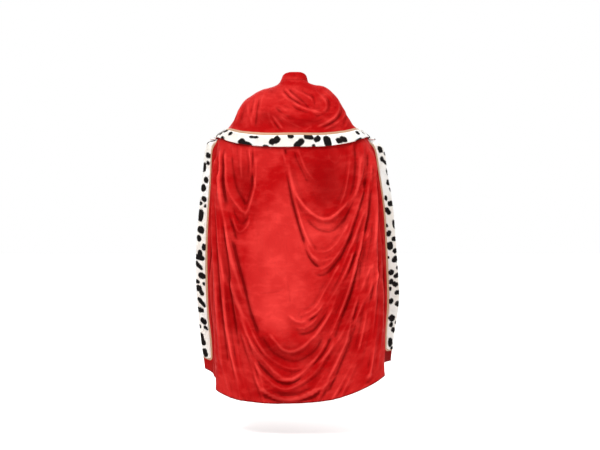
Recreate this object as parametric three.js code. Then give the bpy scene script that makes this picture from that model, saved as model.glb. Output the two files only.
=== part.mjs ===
// A king's cape for an adult, in velvet: a long cape body, a shoulder capelet and a
// stand collar, with bands of mock ermine edged with gold braid. It keeps the hollow
// form of being worn with both arms held out, so the front edges hang from the forearms.
// Millimetres, +Z up, the front faces -Y. The origin is the middle of the neckline,
// where the wearer's neck holds the cape. Left (+X) and right (-X) are the wearer's.
import * as THREE from "three";

// Cloth and trim thicknesses
const VELVET = 2;
const COLLAR_WALL = 2.4;
const ERMINE = 4;
const BRAID = 2.2;
const SEAM_GAP = 0.3;

// Widths of the trims
const ERMINE_WIDTH = 55;
const BRAID_WIDTH = 6;
const TRIM_WIDTH = ERMINE_WIDTH + BRAID_WIDTH;

// The collar
const COLLAR_HEIGHT = 33;
const COLLAR_TOP_SHARE = 0.82;
const COLLAR_TOP_SHIFT = -2;

// The front ermine starts below the neck seam and stops short of the hem
const ERMINE_TOP = 62;
const ERMINE_BARE_HEM = 56;

// Mesh divisions: close rows over the shoulders and elbows, wider ones below
const BODY_COLUMNS = 64;
const NECK_ROWS = 3;
const ARM_ROWS = 12;
const SKIRT_ROWS = 20;
const ARM_ROWS_END = 425;
const CAPELET_COLUMNS = 60;
const CAPELET_ROWS = 11;
const SECTION_STEPS = 240;
const COLUMN_STEPS = 80;
const FOLD_STEPS = 24;

// A table's rows as objects, from its column names
function table(columns, rows) {
  return rows.map((row) =>
    Object.fromEntries(columns.map((column, i) => [column, row[i]]))
  );
}

// The cape body's sections, from the neckline down to the hem. Each section runs from
// the middle of the back to the turn, where the cloth rounds the shoulder, arm or
// flank, on to a fold in front of that, and to the front edge. The "Up" columns are
// heights above the section's own middle back, and the "right" columns are the right
// side's own widths and lift. Pleat is how deep the grooves beside the fold are.
const SECTIONS = table(
  ["name", "backY", "backZ", "turnX", "turnY", "turnUp", "foldX", "foldY", "foldUp",
    "edgeX", "edgeY", "edgeUp", "pleat", "rightTurnX", "rightFoldX", "rightEdgeX", "rightUp"],
  [
    ["neckline", 56, 0, 67, 0, -11, 43, -50, -23, 6, -66, -30, 0, 57, 41, 6, 0],
    ["nape", 70, -34, 83, 2, 4, 66, -62, -14, 30, -86, -24, 0, 79, 62, 29, 5],
    ["yoke", 98, -84, 140, 3, 37, 112, -84, 0, 74, -106, -16, 0, 130, 104, 70, 11],
    ["shoulder", 122, -134, 193, 1, 57, 168, -88, 8, 128, -114, -10, 0, 172, 150, 116, 4],
    ["upper_arm", 135, -180, 227, -4, 72, 212, -90, 22, 178, -120, -2, 0, 196, 184, 160, -2],
    ["mid_arm", 142, -225, 252, -10, 65, 250, -94, 24, 232, -126, 8, 0, 221, 219, 208, -2],
    ["braid_line", 147, -262, 280, -20, 52, 290, -98, 24, 290, -128, 14, 0, 257, 266, 270, 0],
    ["capelet_hem", 151, -301, 335, -34, 49, 351, -88, 41, 381, -120, 39, 0.2, 313, 329, 360, 0],
    ["elbow", 154, -345, 342, 30, 31, 354, -30, 45, 394, -92, 60, 0.6, 340, 338, 386, 0],
    ["ribs", 157, -480, 350, 48, 30, 362, -34, 55, 412, -100, 72, 1, 353, 361, 412, 6],
    ["waist", 162, -640, 355, 52, 34, 373, -36, 62, 429, -108, 82, 1, 366, 382, 437, 14],
    ["hip", 167, -800, 357, 55, 37, 380, -38, 68, 442, -112, 92, 1, 376, 391, 450, 22],
    ["thigh", 172, -960, 357, 58, 40, 380, -38, 74, 446, -114, 100, 1, 383, 397, 462, 32],
    ["knee", 178, -1110, 354, 60, 42, 375, -38, 78, 436, -114, 106, 1, 387, 400, 466, 42],
    ["shin", 184, -1250, 349, 62, 44, 361, -36, 82, 423, -112, 110, 1, 388, 392, 446, 52],
    ["hem", 190, -1390, 344, 64, 46, 356, -34, 85, 405, -108, 112, 1, 390, 389, 430, 60],
  ]
);
const CAPELET_HEM = SECTIONS.findIndex((s) => s.name === "capelet_hem");
const BACK_ROUNDNESS = 2.3;
const BACK_RISE = 3.4;
const RIGHT_BACK_RISE = 1.9;
const BACK_KNOT_ANGLES = [25, 50, 72];
const FRONT_KNOTS = 5;
const EDGE_LIFT_SHARE = 0.58;
const GROOVE_BEHIND_FOLD = 24;
const BAND_REACH = 65;
const POCKET_BESIDE_FOLD = 9;
const POCKET_SHARE = 0.4;
const POCKET_LEAST_DEPTH = 15;
const ARM_BULGE = 8;

// The large folds of the cape's back, seen from behind: each crest runs from its start
// down to its belly and up or on to its end. Width is from crest to hollow, and lift is
// the crest's height.
const BODY_FOLDS = table(
  ["name", "startX", "startZ", "fallX", "fallZ", "bellyX", "bellyZ", "riseX", "riseZ",
    "endX", "endZ", "width", "lift"],
  [
    ["big_swag", 46, -314, -18, -527, -128, -608, -222, -540, -282, -357, 30, 18],
    ["second_swag", -35, -689, -77, -770, -128, -783, -201, -702, -303, -450, 28, 15],
    ["third_swag", 42, -1004, -26, -1047, -86, -1008, -175, -868, -303, -548, 28, 17],
    ["fourth_swag", 123, -1081, 21, -1170, -77, -1111, -188, -927, -320, -646, 28, 16],
    ["long_festoon", 276, -859, 161, -1166, 21, -1290, -120, -1196, -333, -783, 30, 16],
    ["low_right_swag", -35, -1370, -116, -1307, -197, -1166, -273, -996, -358, -817, 28, 14],
    ["left_vee", 293, -357, 251, -540, 208, -583, 182, -519, 161, -378, 26, 15],
    ["left_long_fall", 314, -476, 280, -723, 234, -962, 182, -1140, 131, -1319, 27, 16],
    ["left_fall", 336, -548, 319, -783, 293, -1021, 263, -1200, 234, -1353, 24, 13],
    ["right_fall", -324, -408, -337, -655, -341, -910, -333, -1115, -312, -1311, 26, 14],
    ["right_top_swag", -150, -331, -167, -370, -188, -382, -209, -365, -222, -327, 22, 9],
  ]
);

// The capelet's large folds, seen from behind
const CAPELET_FOLDS = table(
  ["name", "startX", "startZ", "fallX", "fallZ", "bellyX", "bellyZ", "riseX", "riseZ",
    "endX", "endZ", "width", "lift"],
  [
    ["nape_fold", 68, -54, 34, -97, -9, -127, -61, -148, -116, -157, 22, 7],
    ["right_shoulder_swag", -155, -84, -181, -127, -168, -166, -129, -200, -74, -221, 22, 7],
    ["low_diagonal", 150, -114, 120, -148, 94, -178, 68, -208, 42, -230, 22, 6],
    ["left_arm_fold", 223, -110, 236, -140, 249, -170, 257, -196, 266, -221, 20, 6],
    ["left_back_fold", 176, -88, 184, -123, 193, -157, 197, -191, 201, -221, 22, 6],
    ["right_arm_fold", -194, -110, -211, -140, -224, -166, -237, -191, -245, -217, 20, 6],
  ]
);
const FOLD_FADE = 0.16;
const CREST_SHARPNESS = 0.9;
const HOLLOW_DEPTH = 0.8;

// The body's folds start below the capelet's hem and stop short of the turns
const FOLDS_START_BELOW = 30;
const FOLDS_SIDE_FADE = 50;

function mix(a, b, share) {
  return a + (b - a) * share;
}

function ease(low, high, value) {
  const share = Math.min(1, Math.max(0, (value - low) / (high - low)));
  return share * share * (3 - 2 * share);
}

// A smooth value through the values at rising stations
function through(stations, values, at) {
  const last = stations.length - 1;
  const slope = (i) => (values[i + 1] - values[i]) / (stations[i + 1] - stations[i]);
  const tangent = (i) => {
    if (i === 0) return slope(0);
    if (i === last) return slope(last - 1);
    const before = stations[i] - stations[i - 1];
    const after = stations[i + 1] - stations[i];
    return (slope(i - 1) * after + slope(i) * before) / (before + after);
  };
  let i = 0;
  while (i < last - 1 && at > stations[i + 1]) i += 1;
  const span = stations[i + 1] - stations[i];
  const u = (at - stations[i]) / span;
  return (
    values[i] * (2 * u ** 3 - 3 * u ** 2 + 1) +
    tangent(i) * span * (u ** 3 - 2 * u ** 2 + u) +
    values[i + 1] * (3 * u ** 2 - 2 * u ** 3) +
    tangent(i + 1) * span * (u ** 3 - u ** 2)
  );
}

// Running lengths along a line of points
function runningLengths(points) {
  const lengths = [0];
  for (let i = 1; i < points.length; i += 1) {
    lengths.push(lengths[i - 1] + points[i].distanceTo(points[i - 1]));
  }
  return lengths;
}

// The point at a distance along a line of points
function pointAlong(points, lengths, distance) {
  let i = 0;
  while (i < points.length - 2 && distance > lengths[i + 1]) i += 1;
  const share = (distance - lengths[i]) / (lengths[i + 1] - lengths[i]);
  return points[i].clone().lerp(points[i + 1], share);
}

// How far down the middle back each section lies
const BACK_LINE = SECTIONS.map((s) => new THREE.Vector3(0, s.backY, s.backZ));
const STATIONS = runningLengths(BACK_LINE);
const BODY_LENGTH = STATIONS[STATIONS.length - 1];
const CAPELET_LENGTH = STATIONS[CAPELET_HEM];

// One side's knots of a section, from beside the middle back to the front edge
function sideKnots(size, side) {
  const right = side < 0;
  const base = size.backZ + (right ? size.rightUp : 0);
  const turnX = right ? size.rightTurnX : size.turnX;
  const foldX = right ? size.rightFoldX : size.foldX;
  const edgeX = right ? size.rightEdgeX : size.edgeX;
  const turn = new THREE.Vector3(turnX, size.turnY, base + size.turnUp);
  const fold = new THREE.Vector3(foldX, size.foldY, base + size.foldUp);
  const edgeBase = mix(size.backZ, base, EDGE_LIFT_SHARE);
  const edge = new THREE.Vector3(edgeX, size.edgeY, edgeBase + size.edgeUp);
  const rise = right ? mix(BACK_RISE, RIGHT_BACK_RISE, size.pleat) : BACK_RISE;
  const knots = BACK_KNOT_ANGLES.map((degrees) => {
    const angle = THREE.MathUtils.degToRad(degrees);
    const across = Math.sin(angle) ** (2 / BACK_ROUNDNESS);
    const along = Math.cos(angle) ** (2 / BACK_ROUNDNESS);
    return new THREE.Vector3(
      turn.x * across,
      mix(turn.y, size.backY, along),
      mix(size.backZ, turn.z, Math.sin(angle) ** rise)
    );
  });
  const bulge = ARM_BULGE * (1 - size.pleat);
  const groove = turn.clone().lerp(fold, 0.5);
  groove.x = mix(groove.x, Math.min(turn.x, fold.x) - GROOVE_BEHIND_FOLD, size.pleat) + bulge;
  groove.z += bulge;
  const inset = fold.clone().lerp(edge, 0.5);
  // below the arm the band lies flat from the edge to the braid's inner side, where the
  // cloth goes back behind the fold
  const pocket = fold.clone().lerp(edge, POCKET_SHARE);
  pocket.x = fold.x + POCKET_BESIDE_FOLD;
  const flat = BAND_REACH ** 2 - (edge.x - pocket.x) ** 2 - (edge.z - pocket.z) ** 2;
  pocket.y = edge.y + Math.sqrt(Math.max(flat, POCKET_LEAST_DEPTH ** 2));
  inset.lerp(pocket, size.pleat);
  knots.push(turn, groove, fold, inset, edge);
  knots.forEach((knot) => {
    knot.x *= side;
  });
  return knots;
}

// A whole section at a station: a dense line from the right front edge round the back
// to the left front edge
const sectionCache = new Map();
function section(station) {
  if (sectionCache.has(station)) return sectionCache.get(station);
  const size = {};
  for (const column of Object.keys(SECTIONS[0])) {
    if (column !== "name") {
      size[column] = through(STATIONS, SECTIONS.map((s) => s[column]), station);
    }
  }
  const left = sideKnots(size, 1);
  const right = sideKnots(size, -1).reverse();
  const back = new THREE.Vector3(0, size.backY, size.backZ);
  const knots = [...right, back, ...left];
  const chords = runningLengths(knots);
  const whole = chords[chords.length - 1];
  const points = [];
  for (let i = 0; i <= SECTION_STEPS; i += 1) {
    const at = (whole * i) / SECTION_STEPS;
    points.push(
      new THREE.Vector3(
        through(chords, knots.map((k) => k.x), at),
        through(chords, knots.map((k) => k.y), at),
        through(chords, knots.map((k) => k.z), at)
      )
    );
  }
  const lengths = runningLengths(points);
  const length = lengths[lengths.length - 1];
  const scale = length / whole;
  const made = {
    length,
    at: (distance) => pointAlong(points, lengths, distance),
    backFrom: chords[FRONT_KNOTS - 1] * scale,
    backTo: chords[chords.length - FRONT_KNOTS] * scale,
  };
  sectionCache.set(station, made);
  return made;
}

// Outward normals of a grid of points whose columns run from right to left and whose
// rows run down
function gridNormals(grid) {
  const rows = grid.length;
  const columns = grid[0].length;
  return grid.map((row, r) =>
    row.map((point, c) => {
      const across = row[Math.min(c + 1, columns - 1)].clone().sub(row[Math.max(c - 1, 0)]);
      const down = grid[Math.min(r + 1, rows - 1)][c].clone().sub(grid[Math.max(r - 1, 0)][c]);
      return across.cross(down).normalize();
    })
  );
}

function moved(grid, normals, amount) {
  return grid.map((row, r) =>
    row.map((point, c) => {
      const by = typeof amount === "function" ? amount(r, c) : amount;
      return point.clone().addScaledVector(normals[r][c], by);
    })
  );
}

// The line that a fold follows, seen from behind
function foldLine(fold) {
  const xs = [fold.startX, fold.fallX, fold.bellyX, fold.riseX, fold.endX];
  const zs = [fold.startZ, fold.fallZ, fold.bellyZ, fold.riseZ, fold.endZ];
  const stations = [0];
  for (let i = 1; i < xs.length; i += 1) {
    stations.push(stations[i - 1] + Math.hypot(xs[i] - xs[i - 1], zs[i] - zs[i - 1]));
  }
  const line = [];
  for (let i = 0; i <= FOLD_STEPS; i += 1) {
    const at = (stations[xs.length - 1] * i) / FOLD_STEPS;
    line.push([through(stations, xs, at), through(stations, zs, at)]);
  }
  return line;
}

// The height that a fold adds at a point seen from behind: a round crest between two
// shallow hollows, fading out at both ends
function foldHeight(fold, line, x, z) {
  let nearest = Infinity;
  let along = 0;
  for (let i = 0; i < FOLD_STEPS; i += 1) {
    const [ax, az] = line[i];
    const [bx, bz] = line[i + 1];
    const span = (bx - ax) ** 2 + (bz - az) ** 2;
    const share = Math.min(1, Math.max(0, ((x - ax) * (bx - ax) + (z - az) * (bz - az)) / span));
    const distance = Math.hypot(x - mix(ax, bx, share), z - mix(az, bz, share));
    if (distance < nearest) {
      nearest = distance;
      along = (i + share) / FOLD_STEPS;
    }
  }
  const q = nearest / fold.width;
  const crest = (1 - HOLLOW_DEPTH * q * q) * Math.exp(-CREST_SHARPNESS * q * q);
  const fade = ease(0, FOLD_FADE, along) * ease(1, 1 - FOLD_FADE, along);
  return fold.lift * crest * fade;
}

function foldsOver(folds) {
  const lines = folds.map(foldLine);
  return (point) =>
    folds.reduce((sum, fold, i) => sum + foldHeight(fold, lines[i], point.x, point.z), 0);
}

// A closed wall between an outer and an inner grid with the same rows and columns. The
// faces are split along the folds, which run down towards the middle back on each side.
function wall(outer, inner, middle = (outer[0].length - 1) / 2) {
  const rows = outer.length;
  const columns = outer[0].length;
  const count = rows * columns;
  const positions = [];
  for (const grid of [outer, inner]) {
    for (const row of grid) {
      for (const point of row) positions.push(point.x, point.y, point.z);
    }
  }
  const faces = [];
  for (let r = 0; r < rows - 1; r += 1) {
    for (let c = 0; c < columns - 1; c += 1) {
      const a = r * columns + c;
      const b = a + 1;
      const below = a + columns;
      if (c < middle) faces.push([a, b, below + 1], [a, below + 1, below]);
      else faces.push([a, b, below], [b, below + 1, below]);
    }
  }
  const rim = [];
  for (let c = 0; c < columns; c += 1) rim.push(c);
  for (let r = 1; r < rows; r += 1) rim.push(r * columns + columns - 1);
  for (let c = columns - 2; c >= 0; c -= 1) rim.push((rows - 1) * columns + c);
  for (let r = rows - 2; r > 0; r -= 1) rim.push(r * columns);
  const index = [];
  for (const [a, b, c] of faces) {
    index.push(a, b, c, a + count, c + count, b + count);
  }
  rim.forEach((a, i) => {
    const b = rim[(i + 1) % rim.length];
    if (a < b) index.push(b, a, b + count, a, a + count, b + count);
    else index.push(b, a, a + count, b, a + count, b + count);
  });
  const geometry = new THREE.BufferGeometry();
  geometry.setAttribute("position", new THREE.Float32BufferAttribute(positions, 3));
  geometry.setIndex(index);
  geometry.computeVertexNormals();
  return geometry;
}

// The panel's point and normal at a fractional row and column
function pickAt(panel, r, c) {
  const r0 = Math.min(Math.floor(r), panel.grid.length - 2);
  const c0 = Math.min(Math.floor(c), panel.grid[0].length - 2);
  const blend = (grid) => {
    const top = grid[r0][c0].clone().lerp(grid[r0][c0 + 1], c - c0);
    const low = grid[r0 + 1][c0].clone().lerp(grid[r0 + 1][c0 + 1], c - c0);
    return top.lerp(low, r - r0);
  };
  return { point: blend(panel.grid), normal: blend(panel.normals).normalize() };
}

// A trim that lies on a panel, made from the panel's outer points moved out. Its grid
// holds the panel's row and column of each of its points.
function trimOn(panel, places, thickness, middle) {
  const picked = places.map((row) => row.map(([r, c]) => pickAt(panel, r, c)));
  const raised = (by) =>
    picked.map((row) => row.map(({ point, normal }) => point.clone().addScaledVector(normal, by)));
  return wall(raised(SEAM_GAP + thickness), raised(SEAM_GAP), middle);
}

function places(rowsAt, columnsAt) {
  return rowsAt.map((r) => columnsAt.map((c) => [r, c]));
}

function counted(from, to) {
  return Array.from({ length: to - from + 1 }, (_, i) => from + i);
}

// Distances across a section: even at the neckline, and from the trim's top down the
// trim's own lines at each edge with even steps between
const TRIM_LINES = [0, ERMINE_WIDTH / 2, ERMINE_WIDTH, TRIM_WIDTH];
function bodyDistances(length, station) {
  const steps = BODY_COLUMNS - 2 * (TRIM_LINES.length - 1);
  const between = counted(1, steps - 1).map((i) => mix(TRIM_WIDTH, length - TRIM_WIDTH, i / steps));
  const trimmed = [...TRIM_LINES, ...between, ...TRIM_LINES.map((d) => length - d).reverse()];
  const share = ease(0, ERMINE_TOP, station);
  return trimmed.map((distance, c) => mix((length * c) / BODY_COLUMNS, distance, share));
}

// The long cape body
function bodyStations() {
  const trimEnd = BODY_LENGTH - ERMINE_BARE_HEM;
  const neck = counted(0, NECK_ROWS - 1).map((i) => mix(SEAM_GAP, ERMINE_TOP, i / NECK_ROWS));
  const arms = counted(0, ARM_ROWS - 1).map((i) => mix(ERMINE_TOP, ARM_ROWS_END, i / ARM_ROWS));
  const skirt = counted(0, SKIRT_ROWS).map((i) => mix(ARM_ROWS_END, trimEnd, i / SKIRT_ROWS));
  return [...neck, ...arms, ...skirt, trimEnd + BRAID_WIDTH + SEAM_GAP, BODY_LENGTH];
}

function makeBody() {
  const stations = bodyStations();
  const base = stations.map((station) => {
    const cut = section(station);
    return bodyDistances(cut.length, station).map((distance) => cut.at(distance));
  });
  const foldAt = foldsOver(BODY_FOLDS);
  const heights = stations.map((station, r) => {
    const cut = section(station);
    const distances = bodyDistances(cut.length, station);
    const below = ease(CAPELET_LENGTH, CAPELET_LENGTH + FOLDS_START_BELOW, station);
    return distances.map((distance, c) => {
      const fromRight = ease(cut.backFrom, cut.backFrom + FOLDS_SIDE_FADE, distance);
      const fromLeft = ease(cut.backTo, cut.backTo - FOLDS_SIDE_FADE, distance);
      return below * fromRight * fromLeft * foldAt(base[r][c]);
    });
  });
  const grid = moved(base, gridNormals(base), (r, c) => heights[r][c]);
  return { grid, normals: gridNormals(grid) };
}

// The capelet lies over the body's shoulders and flares a little towards its hem. Its
// rows are measured up from the hem, so the ermine band keeps its width all round.
const CAPELET_START = 1.6;
const CAPELET_EASE = { atNeck: VELVET + SEAM_GAP, overShoulder: 8.6, atHem: 11 };
const CAPELET_EDGE_SETBACK = 4;
const NECK_TO_SHOULDER = 45;
const FLARE_START = 120;
const CAPELET_FOLDS_FRONT = -20;
const CAPELET_FOLDS_FULL = 25;
const CAPELET_HOLLOW_LIMIT = -2;
function makeCapelet() {
  const stations = counted(0, COLUMN_STEPS).map((i) =>
    mix(CAPELET_START, CAPELET_LENGTH, i / COLUMN_STEPS)
  );
  const columns = counted(0, CAPELET_COLUMNS).map((i) => i / CAPELET_COLUMNS);
  const dense = stations.map((station) => {
    const cut = section(station);
    return columns.map((share) =>
      cut.at(mix(CAPELET_EDGE_SETBACK, cut.length - CAPELET_EDGE_SETBACK, share))
    );
  });
  const normals = gridNormals(dense);
  const foldAt = foldsOver(CAPELET_FOLDS);
  const lifted = moved(dense, normals, (r, c) => {
    const station = stations[r];
    const onShoulder = ease(0, NECK_TO_SHOULDER, station);
    const flared = ease(FLARE_START, CAPELET_LENGTH, station);
    const yoke = mix(CAPELET_EASE.atNeck, CAPELET_EASE.overShoulder, onShoulder);
    const behind = ease(CAPELET_FOLDS_FRONT, CAPELET_FOLDS_FULL, dense[r][c].y);
    const fold = Math.max(CAPELET_HOLLOW_LIMIT, foldAt(dense[r][c]));
    return mix(yoke, CAPELET_EASE.atHem, flared) + behind * fold;
  });
  const upFromHem = [0, ERMINE_WIDTH / 2, ERMINE_WIDTH, TRIM_WIDTH];
  const grid = [];
  for (let k = 0; k <= CAPELET_ROWS; k += 1) grid.push([]);
  columns.forEach((_, c) => {
    const line = lifted.map((row) => row[c]).reverse();
    const lengths = runningLengths(line);
    const whole = lengths[lengths.length - 1];
    const above = CAPELET_ROWS + 1 - upFromHem.length;
    const rest = counted(1, above).map((i) => mix(TRIM_WIDTH, whole, i / above));
    [...upFromHem, ...rest].forEach((distance, i) => {
      grid[CAPELET_ROWS - i].push(pointAlong(line, lengths, distance));
    });
  });
  return { grid, normals: gridNormals(grid) };
}

// The stand collar rises from the body's neckline, on the same columns, and leans in
const COLLAR_ROWS = [1, 0.5, 0];
function makeCollar() {
  const cut = section(0);
  const distances = bodyDistances(cut.length, 0);
  const grid = COLLAR_ROWS.map((up) =>
    distances.map((distance) => {
      const point = cut.at(distance);
      const lean = mix(1, COLLAR_TOP_SHARE, up);
      const x = point.x * lean + COLLAR_TOP_SHIFT * up;
      const z = point.z + SEAM_GAP + COLLAR_HEIGHT * up;
      return new THREE.Vector3(x, point.y * lean, z);
    })
  );
  return { grid, normals: gridNormals(grid) };
}

// The tab that closes the collar at the throat, on the collar's outer face
const TAB_COLUMNS = 5;
const TAB_HEIGHT = 16;
const TAB_WALL = 1.8;
function makeTab(collar) {
  const rows = collar.grid.length - 1;
  const low = (COLLAR_HEIGHT - TAB_HEIGHT) / 2 / COLLAR_HEIGHT;
  const lines = [low * rows, rows / 2, (1 - low) * rows];
  const face = { grid: moved(collar.grid, collar.normals, COLLAR_WALL / 2), normals: collar.normals };
  const left = counted(BODY_COLUMNS - TAB_COLUMNS, BODY_COLUMNS);
  const right = counted(0, TAB_COLUMNS);
  return trimOn(face, places(lines, [...left, ...right]), TAB_WALL);
}

const velvet = { color: 0xc01018, roughness: 0.62, metalness: 0 };
const lining = { color: 0xb00f17, roughness: 0.7, metalness: 0 };
const fur = { color: 0xf4f1ea, roughness: 0.95, metalness: 0 };
const gold = { color: 0xc9a15c, roughness: 0.45, metalness: 0.6 };

function piece(name, geometry, look) {
  const mesh = new THREE.Mesh(geometry, new THREE.MeshStandardMaterial(look));
  mesh.name = name;
  return mesh;
}

const body = makeBody();
const capelet = makeCapelet();
const collar = makeCollar();
const cape = new THREE.Group();

cape.add(piece("cape_body", wall(body.grid, moved(body.grid, body.normals, -VELVET)), velvet));
cape.add(piece("capelet", wall(capelet.grid, moved(capelet.grid, capelet.normals, -VELVET)), velvet));
cape.add(
  piece(
    "collar",
    wall(
      moved(collar.grid, collar.normals, COLLAR_WALL / 2),
      moved(collar.grid, collar.normals, -COLLAR_WALL / 2)
    ),
    velvet
  )
);
cape.add(piece("throat_tab", makeTab(collar), lining));

// Half of the seam's gap, as a share of a column or row of the given width
const halfGap = (width) => SEAM_GAP / 2 / width;
const trimEndRow = NECK_ROWS + ARM_ROWS + SKIRT_ROWS;
const frontRows = counted(NECK_ROWS, trimEndRow);
const ermineColumns = [0, 1, 2 - halfGap(ERMINE_WIDTH / 2)];
const onLeft = (grid) => grid.map((row) => row.map(([r, c]) => [r, BODY_COLUMNS - c]).reverse());
const ermineRight = places(frontRows, ermineColumns);

// The braid runs down the ermine's inner side and turns along its lower end
const braidDown = places(frontRows, [2 + halfGap(BRAID_WIDTH), 3]);
const braidAcross = [2 + halfGap(BRAID_WIDTH), 1, 0].map((c, i) => [
  [trimEndRow + halfGap(BRAID_WIDTH), c],
  [trimEndRow + 1, i === 0 ? 3 : c],
]);
const braidRight = [...braidDown.slice(0, -1), ...braidAcross];

cape.add(piece("front_ermine_right", trimOn(body, ermineRight, ERMINE, BODY_COLUMNS), fur));
cape.add(piece("front_ermine_left", trimOn(body, onLeft(ermineRight), ERMINE, 0), fur));
cape.add(piece("front_braid_right", trimOn(body, braidRight, BRAID, BODY_COLUMNS), gold));
cape.add(piece("front_braid_left", trimOn(body, onLeft(braidRight), BRAID, 0), gold));

const capeletColumns = counted(0, CAPELET_COLUMNS);
const hemRow = CAPELET_ROWS;
const bandRows = [hemRow - 2 + halfGap(ERMINE_WIDTH / 2), hemRow - 1, hemRow];
const capeletBraidRows = [hemRow - 3, hemRow - 2 - halfGap(BRAID_WIDTH)];
cape.add(piece("capelet_ermine", trimOn(capelet, places(bandRows, capeletColumns), ERMINE), fur));
cape.add(
  piece("capelet_braid", trimOn(capelet, places(capeletBraidRows, capeletColumns), BRAID), gold)
);

export default cape;
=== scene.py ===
"""An adult's king cape in crushed velvet with mock-ermine bands, dressed for Blender.

The cut, its sections and its folds are in millimetres, +Z up, with the front facing -Y and
the origin in the middle of the neckline. A point of the cape body is found from its station,
the distance down the middle back, and from its distance round the section at that station,
measured from the wearer's right front edge round the back to the left one.
"""

import math
from dataclasses import dataclass

import bpy
import numpy as np
from bpy.props import FloatProperty, FloatVectorProperty, IntProperty, PointerProperty
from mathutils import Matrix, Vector


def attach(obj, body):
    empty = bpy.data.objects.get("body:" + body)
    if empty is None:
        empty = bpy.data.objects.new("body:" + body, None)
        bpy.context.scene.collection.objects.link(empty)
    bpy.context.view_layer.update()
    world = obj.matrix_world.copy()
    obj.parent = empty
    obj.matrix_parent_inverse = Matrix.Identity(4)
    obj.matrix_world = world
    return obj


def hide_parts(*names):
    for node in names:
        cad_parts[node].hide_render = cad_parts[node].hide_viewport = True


bl_info = {
    "name": "King Cape",
    "version": (1, 0, 0),
    "blender": (4, 5, 0),
    "location": "3D View > Sidebar > King Cape",
    "description": "Dresses a king cape: velvet, plush ermine bands, gold braid and stitching",
    "category": "Object",
}

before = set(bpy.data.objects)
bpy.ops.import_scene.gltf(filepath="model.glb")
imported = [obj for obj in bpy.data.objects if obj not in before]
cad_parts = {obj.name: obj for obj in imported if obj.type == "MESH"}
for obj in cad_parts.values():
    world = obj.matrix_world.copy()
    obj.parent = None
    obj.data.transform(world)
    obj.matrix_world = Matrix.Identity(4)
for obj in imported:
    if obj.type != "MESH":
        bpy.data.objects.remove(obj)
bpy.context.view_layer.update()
METRES = 0.001

# Widths and places of the trims, as the cape is cut
SEAM_GAP = 0.3
ERMINE_WIDTH = 55.0
BRAID_WIDTH = 6.0
TRIM_WIDTH = ERMINE_WIDTH + BRAID_WIDTH
ERMINE_TOP = 62.0
ERMINE_BARE_HEM = 56.0
COLLAR_HEIGHT = 33.0
COLLAR_TOP_SHARE = 0.82
COLLAR_TOP_SHIFT = -2.0
COLLAR_WALL = 2.4

# The cape body's sections, from the neckline down to the hem: the middle back, the turn
# where the cloth rounds the shoulder, arm or flank, the fold in front of it and the front
# edge. "Up" is the height above the section's own middle back.
SECTION_COLUMNS = (
    "back_y back_z turn_x turn_y turn_up fold_x fold_y fold_up edge_x edge_y edge_up pleat "
    "right_turn_x right_fold_x right_edge_x right_up"
).split()
SECTIONS = {
    "neckline": (56, 0, 67, 0, -11, 43, -50, -23, 6, -66, -30, 0, 57, 41, 6, 0),
    "nape": (70, -34, 83, 2, 4, 66, -62, -14, 30, -86, -24, 0, 79, 62, 29, 5),
    "yoke": (98, -84, 140, 3, 37, 112, -84, 0, 74, -106, -16, 0, 130, 104, 70, 11),
    "shoulder": (122, -134, 193, 1, 57, 168, -88, 8, 128, -114, -10, 0, 172, 150, 116, 4),
    "upper_arm": (135, -180, 227, -4, 72, 212, -90, 22, 178, -120, -2, 0, 196, 184, 160, -2),
    "mid_arm": (142, -225, 252, -10, 65, 250, -94, 24, 232, -126, 8, 0, 221, 219, 208, -2),
    "braid_line": (147, -262, 280, -20, 52, 290, -98, 24, 290, -128, 14, 0, 257, 266, 270, 0),
    "capelet_hem": (151, -301, 335, -34, 49, 351, -88, 41, 381, -120, 39, 0.2, 313, 329, 360, 0),
    "elbow": (154, -345, 342, 30, 31, 354, -30, 45, 394, -92, 60, 0.6, 340, 338, 386, 0),
    "ribs": (157, -480, 350, 48, 30, 362, -34, 55, 412, -100, 72, 1, 353, 361, 412, 6),
    "waist": (162, -640, 355, 52, 34, 373, -36, 62, 429, -108, 82, 1, 366, 382, 437, 14),
    "hip": (167, -800, 357, 55, 37, 380, -38, 68, 442, -112, 92, 1, 376, 391, 450, 22),
    "thigh": (172, -960, 357, 58, 40, 380, -38, 74, 446, -114, 100, 1, 383, 397, 462, 32),
    "knee": (178, -1110, 354, 60, 42, 375, -38, 78, 436, -114, 106, 1, 387, 400, 466, 42),
    "shin": (184, -1250, 349, 62, 44, 361, -36, 82, 423, -112, 110, 1, 388, 392, 446, 52),
    "hem": (190, -1390, 344, 64, 46, 356, -34, 85, 405, -108, 112, 1, 390, 389, 430, 60),
}
CAPELET_HEM = list(SECTIONS).index("capelet_hem")
BACK_ROUNDNESS = 2.3
BACK_RISE = 3.4
RIGHT_BACK_RISE = 1.9
BACK_KNOT_ANGLES = (25, 50, 72)
FRONT_KNOTS = 5
EDGE_LIFT_SHARE = 0.58
GROOVE_BEHIND_FOLD = 24.0
BAND_REACH = 65.0
POCKET_BESIDE_FOLD = 9.0
POCKET_SHARE = 0.4
POCKET_LEAST_DEPTH = 15.0
ARM_BULGE = 8.0
SECTION_STEPS = 480

# The capelet's ease over the body, and where its flare and its folds begin
CAPELET_START = 1.6
EASE_AT_NECK = 2.3
EASE_OVER_SHOULDER = 8.6
EASE_AT_HEM = 11.0
CAPELET_EDGE_SETBACK = 4.0
NECK_TO_SHOULDER = 45.0
FLARE_START = 120.0
CAPELET_FOLDS_FRONT = -20.0
CAPELET_FOLDS_FULL = 25.0
CAPELET_HOLLOW_LIMIT = -3.0
CAPELET_FOLD_SHARE = 0.75
CAPELET_CREASE_SHARE = 0.6

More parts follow.
